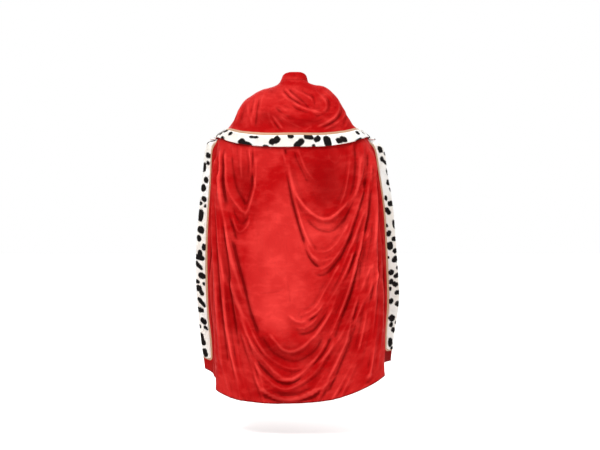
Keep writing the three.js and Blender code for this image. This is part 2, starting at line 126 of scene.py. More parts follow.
# Where the body's folds begin, from the capelet's hem or the neckline, and where they stop:
# ranges are distances past the turn, or in from the front edge
FOLDS_START_BELOW = 20.0
CREASES_FROM = (215.0, 262.0)
ON_BACK = (0.0, 50.0)
BEHIND = (-24.0, 20.0)
OFF_TRIM = (TRIM_WIDTH, TRIM_WIDTH + 22.0)
SIDE_CREASES_HIDDEN = 0.75

# How a fold is shaped: shares of its lift, and reaches in millimetres
FOLD_STEPS = 24
FOLD_FADE = 42.0
FOLD_FADE_SHARE = 0.3
CREST_SHARPNESS = 0.9
HOLLOW_ABOVE = 0.95
HOLLOW_BELOW = 0.4
SWELL_STEEPNESS = 0.2
CREST_STEEPNESS = 0.4
BROAD_SHARE = 0.72
PEAK_SHARE = 0.34
PEAK_REACH = 8.0
CREASE_REACH = 3.2

# How far round a place its relief is judged, in mesh steps, and the height that counts fully; the relief
# paints highlights on the crests and shade in the hollows
BODY_RELIEF = (4, 5.0)
CAPELET_RELIEF = (7, 3.0)
BLUR_SHARPNESS = 1.6

# Seeded unevenness: the waves' length and height, and how much faster they run down
UNEVEN = {
    "body_broad": {"length": 95, "lift": 1.5, "seed": 3, "stretch": 0.5},
    "body_fine": {"length": 38, "lift": 0.45, "seed": 4, "stretch": 0.8},
    "capelet": {"length": 70, "lift": 0.9, "seed": 11},
    "capelet_front": {"length": 62, "lift": 1.6, "seed": 12, "stretch": 0.3},
    "collar": {"length": 46, "lift": 0.6, "seed": 21, "stretch": 0.4},
}
LIGHT_ZONE_WANDER = {"length": 150, "lift": 16, "seed": 61}
SPOT_WANDER = {"length": 15.0, "lift": 1.5, "seed": 51}
PLUSH_WANDER = {"length": 9, "lift": 0.22}
ZONE_SHARPNESS = 0.7

# The body's mesh: columns across each trim, on to the turn and over the back, and rows
TRIM_LINES = np.array([0, 7, 14, 21, 27.5, 34, 41, 48, 55, 61])
FLANK_COLUMNS = 24
BACK_COLUMNS = 208
NECK_ROWS = 9
YOKE_ROWS = 22
SKIRT_ROWS = 241
SKIRT_ABOVE_HEM = 60.0
HEM_ROWS = (10.0, 20.0, 30.0, 38.0, 44.0, 46.0, 48.0, 50.0, 52.5, 54.6, ERMINE_BARE_HEM)

# The body's hem, turned up once and stitched
HEM_DEPTH = 12.0
HEM_TURN_HALF = 1.5
HEM_ROLL = 1.1
STITCH_BELOW_TURN = 3.0
STITCH_DIP = 0.9
STITCH_HALF = 2.2

# Shade on the hem's edge, between the braids and the turns, and on the bare corners
HEM_EDGE = 4.4
HEM_EDGE_SHADE = 1.0
BELOW_ARMS = 60.0
RECESS_AT_TURN = (6.0, -14.0)
RECESS_AT_BRAID = (TRIM_WIDTH - 4, TRIM_WIDTH + 2)
CORNER_TOP = (ERMINE_BARE_HEM + 2, ERMINE_BARE_HEM - 4)
CORNER_SIDE = (TRIM_WIDTH + 12, TRIM_WIDTH)
FLANK_SHADE = 0.55
LEFT_CORNER_SHADE = 0.6
RIGHT_CORNER_SHADE = 0.8

# The capelet's mesh, and where down it the cloth is uneven behind and in front
CAPELET_COLUMNS = 264
CAPELET_STATIONS = 150
CAPELET_BAND_LINES = np.array([0, 4, 9, 15, 21, 27.5, 34, 40, 46, 51, 55, 58, 61])
CAPELET_UPPER_ROWS = 62
CAPELET_UNEVEN_FROM = (20.0, 70.0)
CAPELET_FRONT_UNEVEN_FROM = (40.0, 110.0)

# The collar and the tab across its ends
COLLAR_COLUMNS = 200
COLLAR_ROWS = 15
COLLAR_EDGE_ROUND = 2.0
COLLAR_EDGE_LEAST = 0.12
COLLAR_SUNK = 2.2
COLLAR_RELIEF_SHARE = 0.5
TAB_HEIGHT = 16.0
TAB_REACH = 26.0
TAB_WALL = 1.8
TAB_EDGE_SHARE = 0.45
TAB_STITCH_AT = 0.72
TAB_STITCH_HALF = 0.1
TAB_STITCH_DIP = 0.3
TAB_COLUMNS = 30
TAB_ROWS = 15

# The braid as it shows, which overlaps the plush's edge, and its plait
BRAID_SHOWN = 11.0
BRAID_MIDDLE = ERMINE_WIDTH + 0.5
BRAID_STEP = 0.9
BRAID_STRANDS = 9
BRAID_DOME = 0.96
PLAIT_PITCH = 4.6
PLAIT_SLANT = 0.55
PLAIT_MIDDLE = 0.16
PLAIT_MIDDLE_DEPTH = 0.7
PLAIT_LOW = 0.72

# The plush bands: their width beside the braid, their mesh and their rounded edges
PLUSH_WIDTH = BRAID_MIDDLE - BRAID_SHOWN / 2 - SEAM_GAP
PLUSH_LEAST = 0.6
BAND_COLUMNS = 18
BAND_STEP = 3.2
CAPELET_BAND_COLUMNS = 430
CORNER_ROUND = 16.0
CORNER_STEPS = 24
EDGE_ROUND = 5.0
SIDE_LEAST = 0.3
END_LEAST = 0.35

# Tufts of plush: how many mesh steps in from the sides and the ends they grow, their ranges
# of length, rise, sway and half breadth, and how their three-sided foot stands
TUFT_INSET = 0.25
TUFT_LEAST_INSET = 0.001
TUFT_RANGES = ((0.6, 1.15), (0.16, 0.5), (-0.45, 0.45), (0.42, 0.7))
TUFT_SUNK = 0.5
TUFT_RIDGE_SHARE = 0.4
TUFT_RIDGE_RISE = 0.7

# The outlines of spots, and spots like the charted ones past what the photo shows
SPOT_SQUARENESS = 2.6
SPOT_GROWTH = 1.22
SPOT_FAR = 60.0
SPOT_BACK_PREFERENCE = 0.002
FRONT_SPOT_BREADTH = 1.4
SCATTERED_UPPER = (34, 46)
SCATTERED_LOWER = (10, 22)
SCATTERED_TILT = (-40, 40)
SCATTERED_WIDTH = (16, 34)
SCATTERED_HEIGHT = (13, 26)
SCATTERED_STEP = (0.7, 1.3)
SCATTERED_SPACING = 27.0
SCATTERED_CLEARANCE = 26.0
SCATTERED_FROM_ENDS = (14.0, 10.0)
SCATTERED_SEEDS = (41, 42)

# Machine stitches: along each, its rings' places, thicknesses and heights as shares
STITCH_PITCH = 4.4
STITCH_LENGTH = 3.0
STITCH_THICK = 0.42
STITCH_SIDES = 6
STITCH_RINGS = ((0, 0.15, -0.35), (0.12, 0.8, -0.05), (0.5, 1, 0.1), (0.88, 0.8, -0.05), (1, 0.15, -0.35))
STITCH_LINE_POINTS = 900

# How strongly each cause lightens or darkens the velvet: the crush's flecks and clouds, the fibres' tint,
# painted highlights on the crests, painted light and shade in broad zones, and painted shade in the hollows
VELVET_FLECKS = 0.2
VELVET_CLOUDS = 0.22
VELVET_CREST_HIGHLIGHT = 0.6
VELVET_PAINTED_LIGHT = 0.42
VELVET_PAINTED_SHADE = 0.75
VELVET_HOLLOW_SHADE = 0.8
VELVET_HOLLOW_SHADE_COLOUR = 0.34
VELVET_FIBRES = 0.16

# The camera and the lights, in metres: each light's place, aim, diameter and power
CAMERA_ACROSS = -0.022
SENSOR_WIDTH = 36.0
PHOTO_SIZE = (600, 450)
FLOOR_SIZE = 60.0
LIGHTS = {
    "key_light": ((1.9, 3.4, 2.3), (0, 0.1, -0.7), 1.1, 150),
    "fill_light": ((-3.4, 2.6, 0.4), (0, 0.1, -0.7), 1.6, 52),
    "front_light": ((0.8, -3.6, 1.6), (0, 0, -0.7), 2.0, 60),
}
SKY_HEIGHTS = (0.1, 0.9)
SKY_LIGHT = (0.22, 1.75)

# The five places of a fold's crest, seen from behind: start, fall, belly, rise and end.
# Width is from the crest to the hollow, lift is the crest's height, and lean is how much
# steeper the crest is on its lower side.
BODY_FOLDS = {
    "big_swag": (46, -314, -18, -527, -128, -608, -222, -540, -286, -322, 30, 18, 0.1),
    "second_swag": (-35, -689, -77, -770, -128, -783, -201, -702, -303, -450, 28, 15, 0.1),
    "third_swag": (42, -1004, -26, -1047, -86, -1008, -175, -868, -303, -548, 28, 17, 0.1),
    "fourth_swag": (123, -1081, 21, -1170, -77, -1111, -188, -927, -320, -646, 28, 16, 0.1),
    "long_festoon": (276, -859, 161, -1166, 21, -1290, -120, -1196, -333, -783, 30, 16, 0.1),
    "low_right_swag": (-35, -1370, -116, -1307, -197, -1166, -273, -996, -358, -817, 28, 14, 0.1),
    "left_vee": (304, -304, 251, -540, 208, -583, 182, -519, 160, -330, 26, 15, 0.1),
    "left_long_fall": (318, -392, 280, -723, 234, -962, 182, -1140, 120, -1362, 27, 16, 0.1),
    "left_fall": (338, -452, 319, -783, 293, -1021, 263, -1200, 226, -1420, 24, 13, 0),
    "right_fall": (-320, -346, -337, -655, -341, -910, -333, -1115, -312, -1311, 26, 14, 0),
    "right_top_swag": (-150, -331, -167, -370, -188, -382, -209, -365, -222, -327, 22, 4, 0.1),
}
BODY_CREASES = {
    "middle_groove": (44, -296, 8, -538, -34, -690, -68, -780, -116, -832, 13, -10, 0),
    "big_swag_side": (58, -292, 26, -430, -8, -560, -52, -690, -98, -770, 8, 5, 0),
    "top_middle_fall": (-6, -296, -24, -340, -44, -390, -70, -430, -98, -460, 9, 5, 0.3),
    "top_middle_groove": (10, -296, -6, -350, -28, -400, -52, -446, -80, -480, 9, -5, 0),
    "middle_crest": (44, -305, 4, -463, -58, -580, -135, -614, -215, -545, 13, 6, 0.3),
    "under_big_swag": (-40, -596, -90, -648, -152, -662, -215, -606, -264, -500, 14, -6, 0),
    "top_swag_lip": (-143, -300, -152, -356, -172, -368, -190, -348, -200, -300, 8, 3, 0.2),
    "first_crest": (-82, -738, -124, -749, -162, -725, -190, -690, -228, -612, 11, 6, 0.4),
    "first_hollow": (-70, -768, -120, -779, -164, -757, -202, -712, -242, -630, 11, -5, 0),
    "second_crest": (-66, -806, -112, -821, -149, -798, -196, -731, -246, -633, 10, 6, 0.4),
    "second_hollow": (-70, -838, -118, -848, -160, -818, -210, -748, -256, -650, 11, -6, 0),
    "third_crest": (-12, -1020, -76, -992, -124, -915, -200, -774, -240, -690, 12, 7, 0.4),
    "third_hollow": (-24, -1046, -92, -1020, -142, -938, -216, -798, -254, -712, 12, -7, 0),
    "fourth_crest": (18, -1062, -34, -1072, -124, -983, -200, -851, -250, -730, 12, 7, 0.4),
    "fourth_hollow": (0, -1098, -54, -1094, -140, -1006, -216, -862, -266, -735, 11, -6, 0),
    "fifth_crest": (-85, -1104, -132, -1025, -179, -927, -222, -825, -262, -695, 11, 6, 0.3),
    "sixth_crest": (-139, -1126, -179, -1038, -217, -945, -251, -825, -283, -676, 11, 6, 0.3),
    "sixth_hollow": (-158, -1140, -196, -1045, -233, -950, -266, -830, -294, -690, 10, -5, 0),
    "right_dark_fall": (-322, -300, -305, -440, -275, -562, -230, -697, -180, -820, 12, -8, 0),
    "right_low_dark_fall": (-307, -680, -285, -812, -264, -961, -247, -1038, -224, -1130, 12, -8, 0),
    "right_ridge": (-312, -372, -296, -633, -266, -774, -228, -910, -179, -1035, 12, 6, 0.2),
    "right_outer_ridge": (-336, -336, -341, -633, -324, -825, -299, -1017, -266, -1180, 12, 7, 0.2),
    "right_outer_groove": (-351, -380, -361, -697, -354, -910, -337, -1102, -309, -1268, 11, -7, 0),
    "right_low_ridge": (-326, -940, -302, -1081, -277, -1175, -243, -1260, -180, -1390, 11, 6, 0.2),
    "right_shoulder_ridge": (-246, -262, -239, -350, -231, -405, -214, -486, -180, -562, 12, 5, 0),
    "right_shoulder_groove": (-264, -262, -258, -370, -250, -440, -236, -510, -213, -578, 11, -5, 0),
    "right_shoulder_fall": (-288, -262, -281, -400, -265, -500, -240, -592, -203, -685, 12, 6, 0),
    "first_festoon": (84, -1134, 47, -1166, 8, -1172, -34, -1155, -70, -1124, 11, 5, 0.4),
    "second_festoon": (186, -1076, 107, -1196, 9, -1244, -102, -1185, -144, -1114, 12, 6, 0.4),
    "third_festoon": (104, -1278, 50, -1292, 2, -1278, -47, -1243, -102, -1188, 10, 5, 0.4),
    "fourth_festoon": (224, -1076, 162, -1234, 44, -1330, -64, -1279, -181, -1096, 12, 6, 0.4),
    "fifth_festoon": (181, -1246, 134, -1338, 48, -1370, -30, -1362, -144, -1248, 11, 5, 0.3),
    "sixth_festoon": (160, -1284, 124, -1342, 47, -1374, -72, -1346, -190, -1262, 10, 5, 0.3),
    "low_middle_hollow": (140, -1330, 104, -1366, 40, -1392, -40, -1376, -120, -1330, 10, -5, 0),
    "festoon_hollow": (150, -1090, 88, -1176, 6, -1212, -96, -1152, -122, -1100, 11, -5, 0),
    "low_festoon_hollow": (205, -1090, 146, -1228, 30, -1306, -58, -1252, -166, -1096, 11, -6, 0),
    "low_right_crest": (-82, -1400, -141, -1290, -179, -1213, -213, -1132, -249, -1026, 11, 6, 0.3),
    "low_right_hollow": (-138, -1350, -168, -1290, -198, -1220, -232, -1140, -266, -1040, 10, -5, 0),
    "last_right_crest": (-138, -1402, -217, -1273, -256, -1196, -285, -1102, -308, -990, 11, 6, 0.2),
    "vee_hollow": (272, -318, 238, -500, 206, -542, 189, -490, 175, -396, 12, -7, 0),
    "vee_below": (292, -520, 262, -622, 234, -664, 204, -640, 189, -588, 10, 5, 0.4),
    "vee_below_hollow": (268, -548, 250, -600, 228, -628, 206, -610, 196, -560, 9, -4, 0),
    "left_short_ridge": (229, -276, 228, -350, 227, -385, 226, -412, 225, -438, 9, 5, 0),
    "left_inner_ridge": (191, -276, 190, -348, 188, -380, 188, -408, 187, -430, 9, 5, 0),
    "left_dark_fall": (266, -690, 243, -791, 217, -889, 190, -1000, 150, -1104, 12, -8, 0),
    "left_light_fall": (278, -846, 239, -964, 200, -1038, 162, -1123, 112, -1196, 12, 6, 0.2),
    "left_upper_fall": (318, -410, 295, -634, 273, -740, 247, -846, 215, -958, 11, 6, 0.2),
    "left_edge_ridge": (342, -322, 354, -612, 345, -825, 328, -1038, 306, -1250, 10, 7, 0),
    "left_edge_groove": (331, -308, 337, -591, 328, -804, 311, -1017, 284, -1236, 9, -7, 0),
    "left_second_ridge": (318, -292, 317, -570, 307, -783, 290, -996, 263, -1215, 9, 7, 0),
    "left_second_groove": (307, -300, 298, -591, 285, -783, 266, -974, 238, -1172, 9, -7, 0),
    "left_low_ridge": (252, -1076, 243, -1166, 230, -1251, 213, -1315, 186, -1430, 10, 5, 0),
    "left_low_groove": (283, -1096, 273, -1187, 260, -1260, 247, -1319, 228, -1430, 10, -5, 0),
    "swag_tick": (-50, -440, -60, -458, -72, -473, -84, -487, -96, -499, 7, 3, 0),
    "swag_low_tick": (-62, -476, -74, -492, -84, -502, -96, -512, -108, -520, 6, 2.5, 0),
    "back_left_swell": (141, -310, 139, -450, 135, -600, 128, -750, 118, -890, 30, 5, 0),
    "back_left_hollow": (176, -330, 176, -450, 169, -560, 162, -700, 150, -860, 24, -5, 0),
    "back_middle_swell": (85, -320, 80, -450, 70, -600, 60, -740, 48, -870, 22, 4, 0),
    "right_fine_fall_1": (-232, -268, -228, -392, -219, -457, -203, -523, -176, -577, 8, 3.5, 0.2),
    "right_fine_fall_2": (-269, -266, -268, -403, -260, -485, -244, -555, -214, -632, 8, 4, 0.2),
    "right_fine_fall_3": (-298, -268, -290, -378, -277, -425, -256, -493, -224, -570, 8, 4.5, 0.2),
    "right_deep_fall": (-336, -360, -328, -480, -312, -612, -290, -705, -254, -820, 10, -7, 0),
    "right_fine_fall_5": (-340, -312, -347, -484, -341, -591, -328, -720, -300, -870, 8, 5, 0),
    "right_fine_fall_6": (-361, -404, -374, -637, -372, -773, -355, -909, -339, -1000, 7, 4, 0),
    "right_low_fine_1": (-295, -762, -279, -876, -247, -1012, -219, -1093, -171, -1175, 8, 4, 0.2),
    "right_low_fine_2": (-350, -740, -339, -903, -317, -1039, -295, -1148, -263, -1257, 8, 4, 0.2),
    "right_low_fine_3": (-355, -957, -347, -1066, -333, -1175, -317, -1257, -295, -1316, 8, 4, 0),
    "right_low_fine_4": (-377, -876, -377, -1012, -371, -1120, -361, -1202, -350, -1273, 7, 4, 0),
    "left_deep_fall": (311, -400, 305, -459, 288, -540, 268, -633, 246, -715, 10, -7, 0),
    "left_fine_fall_1": (336, -322, 337, -555, 324, -691, 305, -827, 283, -909, 7, 4, 0),
    "left_fine_fall_2": (324, -306, 310, -534, 288, -664, 264, -773, 237, -882, 8, 4, 0.2),
    "left_fine_fall_3": (349, -402, 351, -664, 343, -800, 334, -909, 325, -1000, 7, 4, 0),
    "left_low_fine_1": (334, -903, 329, -1066, 318, -1202, 296, -1284, 260, -1420, 8, 4, 0),
    "left_low_fine_2": (302, -930, 288, -1066, 264, -1202, 242, -1273, 192, -1420, 8, 4, 0.2),
    "left_low_fine_3": (258, -957, 231, -1066, 199, -1175, 171, -1256, 120, -1410, 8, 4, 0.2),
    "top_fine_1": (270, -272, 263, -349, 261, -381, 260, -400, 259, -420, 7, 3.5, 0),
    "top_fine_2": (240, -276, 234, -370, 229, -414, 226, -441, 224, -460, 7, 3.5, 0),
    "top_fine_3": (209, -280, 188, -370, 190, -419, 192, -440, 194, -460, 7, 3.5, 0),
    "top_fine_4": (172, -280, 171, -365, 177, -414, 166, -463, 160, -500, 7, 3.5, 0),
    "packing_crease": (172, -928, 128, -923, 85, -919, 51, -910, 24, -905, 5, -1.8, 0),
    "packing_crease_lip": (168, -938, 128, -933, 85, -928, 51, -919, 28, -914, 5, 1.4, 0),
    "packing_fold": (30, -846, 28, -889, 23, -923, 19, -966, 17, -1006, 5, -1.8, 0),
    "packing_fold_lip": (40, -850, 38, -889, 33, -923, 29, -966, 27, -1000, 5, 1.4, 0),
}
# Broad zones of painted light and shade, seen from behind: the middle, the half width
# and half height, and how much lighter or darker the velvet is painted there
PAINTED_LIGHT_ZONES = {
    "big_swag_inside": (-125, -455, 85, 125, -0.9),
    "right_top": (-250, -350, 70, 70, -0.2),
    "left_vee_inside": (214, -480, 34, 95, -0.8),
    "below_vee": (226, -640, 44, 45, -0.6),
    "below_big_swag": (-110, -655, 110, 55, 0.8),
    "second_swag_inside": (-112, -738, 62, 34, -0.5),
    "third_swag_inside": (-118, -900, 74, 60, -0.5),
    "middle_back": (70, -760, 130, 220, 0.8),
    "middle_back_low": (30, -990, 120, 140, 0.6),
    "upper_middle": (95, -430, 70, 130, -0.15),
    "low_middle": (45, -1170, 150, 60, -0.8),
    "left_low": (292, -1180, 44, 170, 0.5),
    "right_low": (-300, -900, 40, 200, 0.35),
    "right_mid_dark": (-230, -1010, 50, 150, -0.5),
    "left_mid_dark": (250, -900, 26, 190, -0.7),
    "hem_middle": (60, -1366, 130, 30, -0.6),
    "left_side": (345, -800, 22, 400, -0.35),
    "right_side": (-372, -800, 20, 400, -0.45),
}
CAPELET_FOLDS = {
    "nape_fold": (68, -54, 34, -97, -9, -127, -61, -148, -116, -157, 22, 7, 0),
    "right_shoulder_swag": (-155, -84, -181, -127, -168, -166, -129, -200, -74, -221, 22, 7, 0),
    "low_diagonal": (150, -114, 120, -148, 94, -178, 68, -208, 42, -230, 22, 6, 0),
    "left_arm_fold": (223, -110, 236, -140, 249, -170, 257, -196, 266, -221, 20, 6, 0),
    "left_back_fold": (176, -88, 184, -123, 193, -157, 197, -191, 201, -221, 22, 6, 0),
    "right_arm_fold": (-194, -110, -211, -140, -224, -166, -237, -191, -245, -217, 20, 6, 0),
}
CAPELET_CREASES = {
    "left_neck_trough": (66, -31, 47, -58, 22, -88, -9, -110, -50, -129, 9, -5, 0),
    "middle_neck_trough": (31, -31, 17, -58, -7, -79, -35, -109, -68, -146, 8, -5, 0),
    "right_neck_trough": (-16, -38, -26, -49, -37, -60, -60, -75, -92, -89, 8, -4, 0),
    "neck_ridge": (48, -30, 34, -56, 10, -84, -20, -107, -60, -134, 7, 4, 0.2),
    "shoulder_arc": (-155, -62, -181, -109, -172, -157, -133, -196, -76, -223, 9, 5, 0.3),
    "outer_shoulder_arc": (-198, -112, -206, -148, -186, -188, -150, -213, -104, -233, 8, 5, 0.3),
    "inner_shoulder_hollow": (-129, -72, -146, -109, -138, -145, -107, -170, -62, -184, 9, -5, 0),
    "outer_shoulder_hollow": (-176, -100, -193, -140, -178, -176, -142, -206, -92, -228, 8, -4, 0),
    "left_arm_groove": (244, -112, 253, -148, 262, -178, 267, -204, 272, -228, 8, -5, 0),
    "left_arm_ridge": (210, -94, 223, -131, 236, -165, 245, -195, 250, -228, 8, 4, 0),
    "low_left_crest": (99, -160, 83, -182, 69, -200, 56, -218, 42, -234, 7, 4, 0.2),
    "low_left_groove": (112, -160, 95, -185, 81, -205, 67, -223, 54, -238, 7, -4, 0),
    "nape_ridge": (22, -92, -9, -122, -43, -139, -78, -148, -118, -149, 9, 4, 0.3),
    "nape_groove": (30, -106, -4, -136, -44, -154, -84, -164, -124, -166, 8, -4, 0),
    "left_back_ridge": (164, -70, 170, -110, 176, -150, 181, -190, 184, -232, 9, 4, 0),
    "left_back_groove": (148, -84, 152, -120, 158, -156, 163, -196, 166, -234, 9, -4, 0),
    "left_shoulder_ridge": (118, -46, 134, -80, 146, -118, 152, -150, 150, -186, 10, 4, 0),
    "right_arm_groove": (-214, -118, -226, -146, -238, -172, -246, -194, -254, -216, 8, -4, 0),
    "right_low_crest": (-96, -190, -82, -204, -66, -216, -50, -226, -32, -236, 7, 3, 0.2),
    "wide_swag": (100, -95, 33, -146, -30, -160, -98, -154, -160, -112, 12, 4, 0.3),
    "wide_swag_below": (95, -123, 44, -163, -18, -186, -97, -186, -165, -146, 10, -4, 0),
    "low_swag": (78, -157, 44, -186, 4, -208, -30, -222, -63, -231, 8, 4, 0.3),
    "low_left_outer": (118, -146, 106, -174, 95, -197, 86, -214, 78, -231, 8, 3.5, 0),
    "left_patch_crest": (202, -106, 198, -129, 194, -154, 187, -177, 177, -200, 9, 4, 0),
    "left_outer_crest": (228, -120, 231, -140, 234, -160, 238, -180, 242, -200, 8, 4, 0),
    "left_patch_hollow": (171, -78, 174, -101, 179, -123, 181, -146, 180, -168, 8, -3.5, 0),
    "right_low_arc": (-213, -146, -206, -166, -199, -186, -191, -203, -181, -220, 7, 4, 0),
    "right_outer_arc": (-225, -168, -222, -183, -218, -197, -213, -208, -208, -221, 6, 3.5, 0),
    "right_top_crest": (-109, -50, -131, -64, -151, -81, -168, -101, -180, -123, 9, 4, 0),
    "swirl_crest": (-75, -44, -97, -67, -117, -89, -129, -112, -129, -135, 8, 4, 0),
    "swirl_hollow": (-52, -50, -69, -72, -80, -95, -83, -118, -75, -135, 8, -4, 0),
    "nape_second_crest": (21, -38, -7, -58, -35, -75, -63, -92, -89, -112, 7, 4, 0),
    "left_swag_crest": (106, -72, 78, -95, 44, -115, 16, -129, -13, -140, 9, 3.5, 0.3),
}
# Broad zones of painted light and shade on the capelet, as on the body
CAPELET_PAINTED_LIGHT_ZONES = {
    "left_shoulder": (155, -90, 60, 35, 0.45),
    "low_left": (125, -190, 45, 40, -0.55),
    "low_middle": (-10, -195, 70, 26, -0.65),
    "left_of_nape": (80, -45, 22, 20, -0.5),
    "under_nape": (-20, -108, 46, 20, -0.45),
    "right_shoulder": (-125, -75, 32, 25, 0.55),
    "low_right": (-112, -205, 50, 18, -0.45),
    "middle": (20, -140, 60, 16, 0.4),
    "left_arm": (240, -175, 20, 40, -0.4),
    "right_arm": (-215, -150, 20, 36, -0.3),
}

# Creases on the sides and fronts, placed on the cut instead: "x" is the distance in from
# the front edge and "z" is the station down the cloth. They are like those of the back.
SIDE_CREASES = {
    "arm_drop": (150, 330, 138, 520, 146, 760, 132, 1010, 140, 1290, 12, 8, 0.2),
    "arm_hollow": (126, 345, 118, 560, 124, 800, 114, 1060, 120, 1320, 11, -6, 0),
    "flank_drop": (196, 350, 188, 600, 196, 820, 182, 1080, 186, 1330, 12, 7, 0.2),
    "flank_hollow": (172, 340, 166, 540, 170, 780, 160, 1020, 162, 1280, 11, -6, 0),
    "short_fold": (84, 360, 88, 450, 82, 560, 86, 680, 80, 800, 9, 5, 0),
    "low_short_fold": (92, 760, 86, 880, 94, 1010, 88, 1140, 92, 1340, 10, 5, 0),
    "elbow_pull": (110, 330, 150, 372, 196, 396, 238, 410, 276, 416, 10, -5, 0),
    "elbow_second_pull": (104, 362, 148, 412, 190, 446, 228, 470, 262, 486, 10, 5, 0.2),
    "low_swell": (214, 860, 208, 980, 214, 1100, 206, 1220, 210, 1350, 12, 6, 0),
}
SIDE_CREASES_RIGHT_SHIFT = 7.0

# Spots charted on the bands: where the middle is seen in the photo (600 x 450),
# the spot's width and height in millimetres, and its tilt in degrees, clockwise from behind
LEFT_SPOTS = (
    (218.7, 132.8, 16, 8, 0), (215.5, 138.9, 20, 22, 20), (223.1, 139.6, 17, 20, 0),
    (209.1, 143.2, 16, 26, 10), (209.0, 155.3, 22, 24, 0), (208.8, 162.9, 15, 16, 0),
    (205.3, 167.3, 17, 36, 6), (207.1, 180.0, 20, 24, 20), (204.2, 187.9, 20, 30, -35),
    (205.1, 198.8, 20, 22, 0), (201.3, 202.6, 13, 17, 20), (206.0, 206.2, 10, 14, 0),
    (201.3, 215.4, 22, 48, 4), (201.4, 229.6, 22, 30, 8), (199.6, 237.9, 15, 26, -30),
    (204.1, 246.8, 14, 28, 8), (199.2, 257.0, 36, 22, 0), (200.6, 252.6, 15, 22, 0),
    (199.0, 265.4, 30, 18, 38), (202.6, 275.9, 22, 24, 0), (197.5, 281.1, 13, 18, -20),
    (204.2, 283.3, 9, 14, 0), (199.4, 288.2, 20, 26, -10), (202.0, 292.6, 14, 22, -30),
    (202.4, 301.8, 31, 20, 38), (200.8, 309.8, 26, 20, 0), (204.1, 320.5, 20, 26, 10),
    (200.2, 326.2, 10, 16, 0), (206.2, 327.7, 15, 15, 0), (202.2, 336.0, 14, 28, -12),
    (203.8, 342.0, 18, 22, -30), (205.9, 352.7, 18, 33, -14),
)
RIGHT_SPOTS = (
    (379.4, 149.5, 20, 32, 8), (384.5, 153.0, 12, 19, -20), (380.8, 158.6, 13, 22, 0),
    (384.6, 162.2, 26, 14, 38), (386.9, 171.5, 11, 30, -6), (387.5, 182.5, 15, 23, 20),
    (389.5, 189.5, 7, 18, -10), (385.1, 198.1, 11, 23, -5), (389.7, 203.5, 22, 22, 0),
    (387.1, 211.1, 15, 36, -35), (393.0, 223.5, 11, 36, -8), (386.4, 225.7, 7, 17, 0),
    (388.0, 233.0, 16, 26, 38), (393.1, 238.6, 17, 19, 0), (389.1, 245.5, 20, 34, -8),
    (394.4, 250.8, 15, 19, -25), (394.4, 259.0, 17, 30, 48), (388.2, 257.6, 6, 12, 0),
    (396.6, 267.1, 7, 14, 0), (390.7, 272.3, 17, 24, 20), (396.2, 275.3, 21, 18, -20),
    (390.6, 281.0, 13, 22, 0), (394.6, 284.0, 14, 26, -48), (389.9, 288.4, 8, 17, 10),
    (396.8, 292.1, 15, 19, 0), (390.8, 300.9, 14, 24, 24), (397.0, 303.3, 15, 21, 26),
    (391.4, 317.5, 22, 26, 30), (394.9, 321.9, 6, 11, 10), (390.4, 324.6, 14, 20, -10),
    (392.4, 329.4, 13, 24, -45), (389.3, 341.5, 20, 36, -12), (391.4, 352.3, 17, 24, 24),
)
CAPELET_SPOTS = (
    (231.3, 133.8, 20, 17, 0), (222.7, 139.4, 22, 19, 20), (242.0, 141.8, 30, 22, 20),
    (247.8, 144.4, 34, 18, 16), (254.3, 137.4, 38, 11, 0), (265.5, 146.3, 22, 12, 0),
    (272.6, 141.6, 24, 24, 20), (277.0, 139.6, 26, 28, 45), (290.5, 136.6, 24, 16, 0),
    (299.0, 143.6, 46, 22, -38), (308.4, 137.1, 38, 18, 4), (316.7, 139.1, 30, 20, -32),
    (313.7, 145.8, 14, 12, 0), (327.2, 141.4, 28, 44, 6), (338.8, 140.8, 26, 22, 0),
    (343.0, 139.4, 26, 26, 10), (356.8, 133.3, 16, 20, 0), (361.9, 133.3, 10, 19, -30),
    (368.1, 136.5, 24, 14, 30), (358.9, 141.2, 36, 10, 0), (374.2, 139.5, 15, 6, 0),
)
# Each front band's chart, and the seeds of its unevenness, its tufts' places and its tufts
FRONT_BANDS = {"left": (LEFT_SPOTS, (31, 131, 31)), "right": (RIGHT_SPOTS, (32, 132, 32))}
CAPELET_BAND_SEEDS = (43, 44, 45)


def millimetres(name, description, default, low, high):
    description = f"{description}, in millimetres"
    return FloatProperty(name=name, description=description, default=default, min=low, max=high)


def colour(name, description, default):
    return FloatVectorProperty(name=name, description=description, subtype="COLOR", default=default)


def metres(name, description, default):
    return FloatProperty(name=name, description=description, default=default, subtype="DISTANCE")


class CapeSizes(bpy.types.PropertyGroup):
    """Thicknesses and piles that a user of the cape would change."""

    velvet_wall: millimetres("Velvet", "Thickness of the velvet wall", 2.0, 1, 3)
    ermine_pile: millimetres("Ermine", "Thickness of the plush bands", 4.0, 1, 8)
    braid_rise: millimetres("Braid", "Thickness of the gold braid", 2.2, 1, 4)
    tuft_length: millimetres("Tuft length", "Length of the plush's tufts", 5.4, 1, 12)
    tufts_per_band: IntProperty(
        name="Tufts", description="Tufts of plush on each ermine band", default=21000, min=0, max=24000
    )


class CapeColours(bpy.types.PropertyGroup):
    """Colours of the cloths and trims."""

    velvet: colour("Velvet", "The velvet's own colour", (0.31, 0.0028, 0.0035))
    # velvet_dark is the painted shade and the fibres' tint; velvet_light is the crush's flecks and the
    # painted highlights and light
    velvet_dark: colour("Velvet in shade", "Velvet painted in shade, and the fibres' dark tint", (0.17, 0.001, 0.0015))
    velvet_light: colour("Crushed velvet", "Crushed flecks, and velvet painted lit", (0.62, 0.042, 0.036))
    wrong_side: colour("Wrong side", "The velvet's knitted back", (0.17, 0.006, 0.012))
    ermine: colour("Ermine", "The plush between the spots", (0.92, 0.905, 0.885))
    spot: colour("Spot", "The ermine's spots", (0.012, 0.009, 0.009))
    braid: colour("Braid", "The gold braid", (0.52, 0.3, 0.175))


